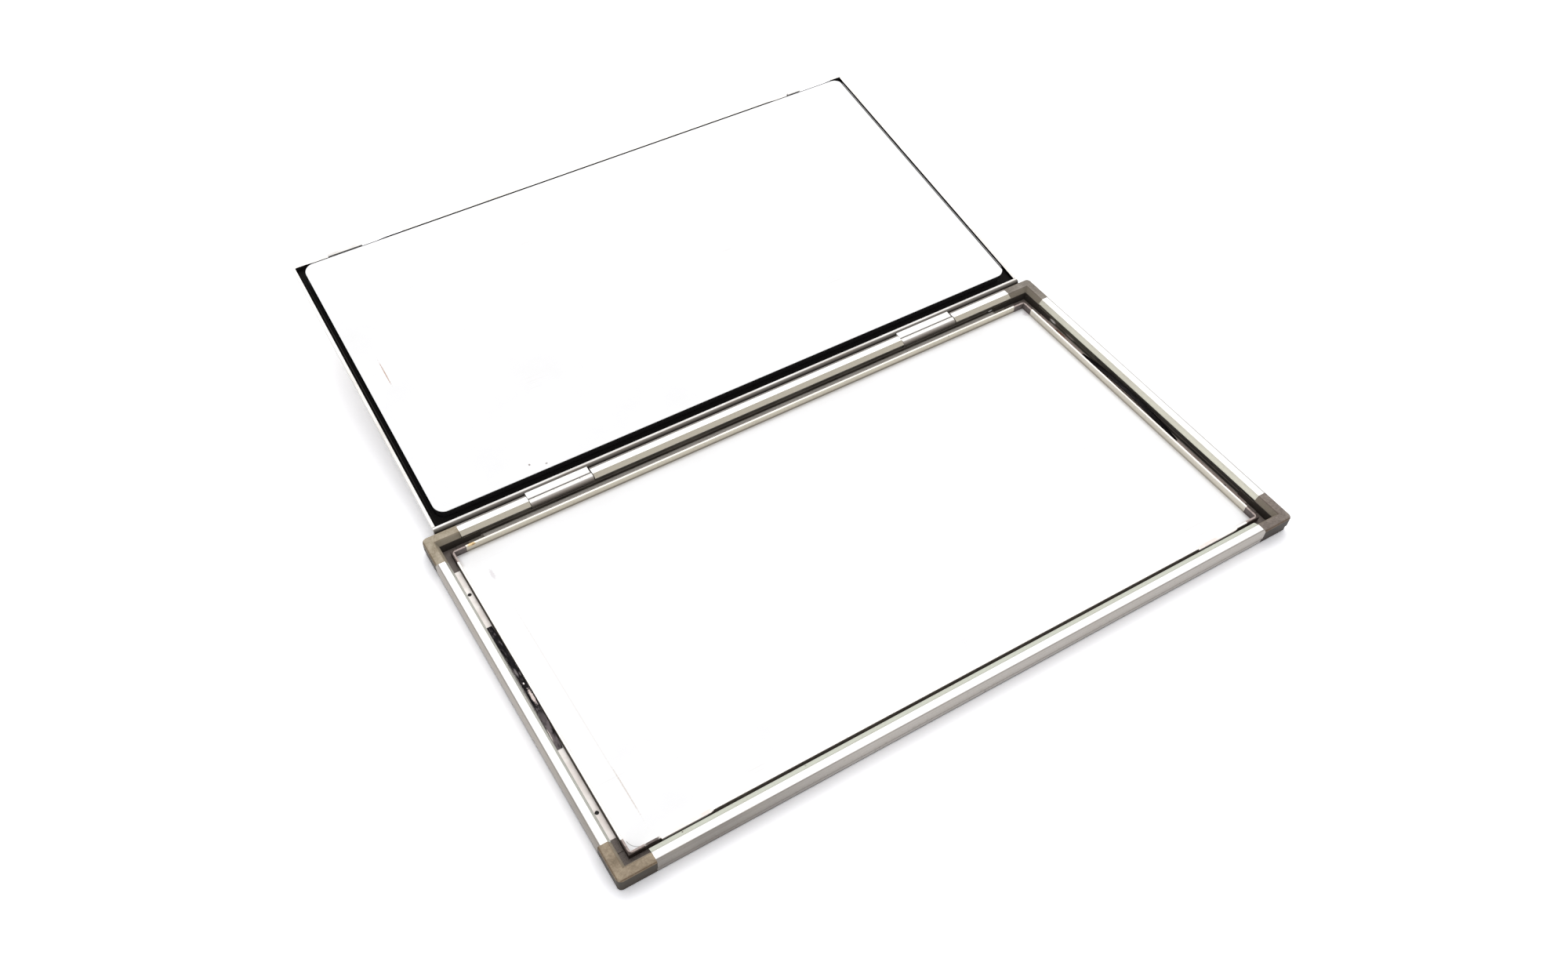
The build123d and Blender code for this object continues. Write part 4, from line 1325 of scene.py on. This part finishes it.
@dataclass
class LidBody:
    """The lid's sheet, hinge rim, border, foam pad and screen."""

    nodes: dict[str, bpy.types.Object]
    pad_length: float = 298.4
    pad_width: float = 149.6
    pad_radius: float = 4.6
    pad_low: float = -1.13
    pad_high: float = 4.43
    slides_from: float = 151.65
    slides_to: float = 0.1
    felt_reach: tuple[float, float] = (-152.2, 152.8)
    felt_depth: tuple[float, float] = (161.9, 162.5)
    felt_height: tuple[float, float] = (0.3, 2.4)
    felt_round: float = 0.18

    def build(self) -> None:
        """Dresses the lid's CAD nodes and models its foam pad."""
        skin = LidSkin("lid_skin").material()
        dress(("lid_panel", "lid_hinge_rim"), self.nodes, skin)
        crease = Mark((-151.0, 84.0, 0.3), (0.22, 74.0, 0.6), srgb(74, 70, 68), 0.8, 1.0)
        flock = Pile("lid_flock", Space.LID, marks=(crease,)).material()
        dress(("lid_border",), self.nodes, flock)
        dress(("lid_screen",), self.nodes, self.screen().material())
        felt = self.felt()
        felt.data.materials.append(flock)
        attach(felt, "lid")
        pad = self.foam()
        pad.data.materials.append(Foam().material())
        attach(pad, "lid")
        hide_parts("lid_pad")
        LOG.info("%s: %.1f by %.1f mm", pad.name, self.pad_length, self.pad_width)

    def screen(self) -> ScreenCard:
        """The lid screen's finish, with its dark right edge, brown scratch and specks."""
        brown, speck = srgb(176, 120, 74), srgb(120, 100, 84)
        marks = (
            Mark((149.2, 81.0, 4.8), (0.35, 400.0, 1.0), srgb(26, 22, 18), 1.0, 0.1),
            Mark((-139.9, 86.0, 4.8), (0.28, 7.6, 1.0), brown, 0.75, 1.5),
            Mark((-104.7, 14.0, 4.8), (0.5, 0.5, 1.0), speck, 0.8, 0.8),
            Mark((-97.8, 11.4, 4.8), (0.6, 0.45, 1.0), speck, 0.7, 0.8),
        )
        return ScreenCard("lid_screen_card", Space.LID, marks=marks)

    def felt(self) -> bpy.types.Object:
        """The felt strip on the border along the free rim, rounded over, low where it meets the catches.

        Returns:
            The object.
        """
        low, high = self.felt_height
        front, back = self.felt_depth
        left, right = self.felt_reach
        bench = Bench(
            "free_edge_felt",
            bpy.ops.mesh.primitive_cube_add,
            size=1.0,
            location=((left + right) / 2 * MM, (front + back) / 2 * MM, (low + high) / 2 * MM),
            scale=((right - left) * MM, (back - front) * MM, (high - low) * MM),
        )
        bench.pick("EDGE", lambda at, along: abs(along.x) > 0.9)
        bpy.ops.mesh.subdivide(number_cuts=60)
        bench.pick("EDGE", lambda at, along: abs(along.x) > 0.9 and at.z > high - 0.05)
        bpy.ops.mesh.bevel(offset=self.felt_round * MM, segments=3, affect="EDGES")
        bench.pick("VERT", lambda at, normal: at.z > high - 0.05 and round(at.x) % 3 == 0)
        bpy.ops.transform.translate(value=(0, 0, -0.04 * MM))
        bench.pick("VERT", lambda at, normal: at.z > low + 0.6 and 111.5 < abs(at.x) < 144.0)
        bpy.ops.transform.translate(value=(0, 0, -0.45 * MM))
        strip = bench.done()
        bench.place(LID.matrix())
        return strip

    def foam(self) -> bpy.types.Object:
        """The foam pad: a cut sheet with softly waisted sides, hollow where the slides run.

        Returns:
            The object.
        """
        height = self.pad_high - self.pad_low
        middle = (self.pad_high + self.pad_low) / 2
        bench = Bench(
            "foam_pad",
            bpy.ops.mesh.primitive_cube_add,
            size=1.0,
            location=(0, LID.pad_middle * MM, middle * MM),
            scale=(self.pad_length * MM, self.pad_width * MM, height * MM),
        )
        bench.pick("EDGE", lambda at, along: abs(along.z) > 0.9)
        bpy.ops.mesh.bevel(offset=self.pad_radius * MM, segments=6, affect="EDGES")
        for level in (0.2, 0.5, 0.8):
            bench.edit("FACE")
            bpy.ops.mesh.select_all(action="SELECT")
            bpy.ops.mesh.bisect(plane_co=(0, 0, (self.pad_low + level * height) * MM), plane_no=(0, 0, 1))
        for level, pinch in ((0.2, 0.9975), (0.5, 0.996), (0.8, 0.9975)):
            bench.pick("VERT", lambda at, normal: abs(at.z - self.pad_low - level * height) < 0.05)
            across = 1 - (1 - pinch) * self.pad_length / self.pad_width
            bpy.ops.transform.resize(value=(pinch, across, 1.0), center_override=(0, LID.pad_middle * MM, 0))
        pad = bench.done()
        cutter = Bench(
            "slide_room",
            bpy.ops.mesh.primitive_cube_add,
            size=1.0,
            location=(0, (self.slides_from + 10) * MM, (self.slides_to - 5) * MM),
            scale=(0.4, 20 * MM, 10 * MM),
        ).piece
        bench.done(("BOOLEAN", {"object": cutter, "operation": "DIFFERENCE", "solver": "EXACT"}))
        bpy.data.objects.remove(cutter)
        bench.place(LID.matrix())
        return pad


@dataclass
class Latches:
    """Slides, guide rivets and knobs of the two latches."""

    nodes: dict[str, bpy.types.Object]

    def build(self) -> None:
        """Dresses the latches' CAD nodes."""
        steel = Steel("latch_steel", Space.LID, srgb(250, 248, 244), srgb(222, 217, 210), metal=0.05, gloss=0.34).material()
        dress(("latch_slide_left", "latch_slide_right", "latch_guides"), self.nodes, steel)
        dress(("latch_knob_left", "latch_knob_right"), self.nodes, Grip().material())


# ------------------------------------------------------------------ studio
@dataclass
class Studio:
    """Camera, lamp, world and floor."""

    eye: Triple = (-0.2351, -0.27185, 0.4551)
    azimuth: float = 60.393
    elevation: float = 50.071
    roll: float = -0.601
    lens: float = 31.39
    sensor: float = 36.0
    shift: float = 0.06
    target: Triple = (0.0, 0.08, 0.0)
    lamp_distance: float = 2.4
    lamp_size: float = 2.6
    lamp_power: float = 34.0
    ambient: float = 0.72
    floor_size: float = 8.0
    floor_white: float = 0.93
    floor_seen: float = 1.45

    def build(self) -> None:
        """Sets up the whole studio."""
        self.camera()
        self.lamp()
        self.world()
        self.floor()
        bpy.context.scene.view_settings.view_transform = "Standard"
        LOG.info("studio ready")

    def looking(self) -> Vector:
        """The direction in which the camera looks."""
        az, el = math.radians(self.azimuth), math.radians(self.elevation)
        return Vector((math.cos(el) * math.cos(az), math.cos(el) * math.sin(az), -math.sin(el)))

    def camera(self) -> None:
        """Adds the camera at the photograph's view."""
        forward = self.looking()
        right = forward.cross(Vector((0, 0, 1))).normalized()
        up = right.cross(forward)
        turn = math.radians(self.roll)
        across = math.cos(turn) * right + math.sin(turn) * up
        upward = math.cos(turn) * up - math.sin(turn) * right
        data = bpy.data.cameras.new("camera")
        data.lens, data.sensor_width, data.shift_x = self.lens, self.sensor, self.shift
        data.clip_start, data.clip_end = 0.01, 50.0
        eye = bpy.data.objects.new("camera", data)
        axes = Matrix((across, upward, -forward)).transposed().to_4x4()
        eye.matrix_world = Matrix.Translation(self.eye) @ axes
        bpy.context.scene.collection.objects.link(eye)
        bpy.context.scene.camera = eye

    def lamp(self) -> None:
        """Adds one large soft lamp behind and above the object."""
        az, el = math.radians(self.azimuth), math.radians(self.elevation)
        away = Vector((math.cos(el) * math.cos(az), math.cos(el) * math.sin(az), math.sin(el)))
        data = bpy.data.lights.new("soft_box", "AREA")
        data.shape, data.size, data.energy = "SQUARE", self.lamp_size, self.lamp_power
        lamp = bpy.data.objects.new("soft_box", data)
        lamp.location = Vector(self.target) + away * self.lamp_distance
        lamp.rotation_euler = away.to_track_quat("Z", "Y").to_euler()
        bpy.context.scene.collection.objects.link(lamp)

    @staticmethod
    def seen(tree: bpy.types.NodeTree) -> bpy.types.NodeSocket:
        """A factor that is 1 for camera, glossy and transmission rays.

        Args:
            tree: the node tree that gets the nodes.

        Returns:
            The factor's socket.
        """
        path = tree.nodes.new("ShaderNodeLightPath")
        total = path.outputs["Is Camera Ray"]
        for name in ("Is Glossy Ray", "Is Transmission Ray"):
            add = tree.nodes.new("ShaderNodeMath")
            add.operation, add.use_clamp = "ADD", True
            tree.links.new(total, add.inputs[0])
            tree.links.new(path.outputs[name], add.inputs[1])
            total = add.outputs[0]
        return total

    def world(self) -> None:
        """A white world that lights the object softly and shows as white."""
        world = bpy.data.worlds.new("studio")
        world.use_nodes = True
        tree = world.node_tree
        tree.nodes.clear()
        soft, white = (tree.nodes.new("ShaderNodeBackground") for _ in range(2))
        soft.inputs["Color"].default_value = (0.97, 0.97, 1.0, 1.0)
        soft.inputs["Strength"].default_value = self.ambient
        white.inputs["Color"].default_value = (1.0, 1.0, 1.0, 1.0)
        choose = tree.nodes.new("ShaderNodeMixShader")
        tree.links.new(self.seen(tree), choose.inputs[0])
        tree.links.new(soft.outputs[0], choose.inputs[1])
        tree.links.new(white.outputs[0], choose.inputs[2])
        end = tree.nodes.new("ShaderNodeOutputWorld")
        tree.links.new(choose.outputs[0], end.inputs[0])
        bpy.context.scene.world = world

    def floor(self) -> None:
        """A plain pale floor that keeps the object's shadow."""
        bpy.ops.object.select_all(action="DESELECT")
        bpy.ops.mesh.primitive_plane_add(size=self.floor_size, location=(0, 0, -0.0003))
        floor = bpy.context.object
        floor.name = "floor"
        material = bpy.data.materials.new("paper")
        material.use_nodes = True
        tree = material.node_tree
        tree.nodes.clear()
        tone = tree.nodes.new("ShaderNodeMix")
        tone.data_type = "RGBA"
        tone.inputs[6].default_value = (self.floor_white,) * 3 + (1.0,)
        tone.inputs[7].default_value = (self.floor_seen,) * 3 + (1.0,)
        tree.links.new(self.seen(tree), tone.inputs[0])
        paper = tree.nodes.new("ShaderNodeBsdfDiffuse")
        tree.links.new(tone.outputs[2], paper.inputs["Color"])
        end = tree.nodes.new("ShaderNodeOutputMaterial")
        tree.links.new(paper.outputs[0], end.inputs[0])
        floor.data.materials.append(material)


def main() -> None:
    """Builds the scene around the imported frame."""
    logging.basicConfig(level=logging.INFO, format="%(name)s: %(message)s")
    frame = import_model()
    nodes = frame["nodes"]
    Studio().build()
    for assembly in (CassetteFrame(nodes), LeafSprings(), Hinges(nodes), LidBody(nodes), Latches(nodes)):
        assembly.build()


if __name__ == "__main__":
    main()
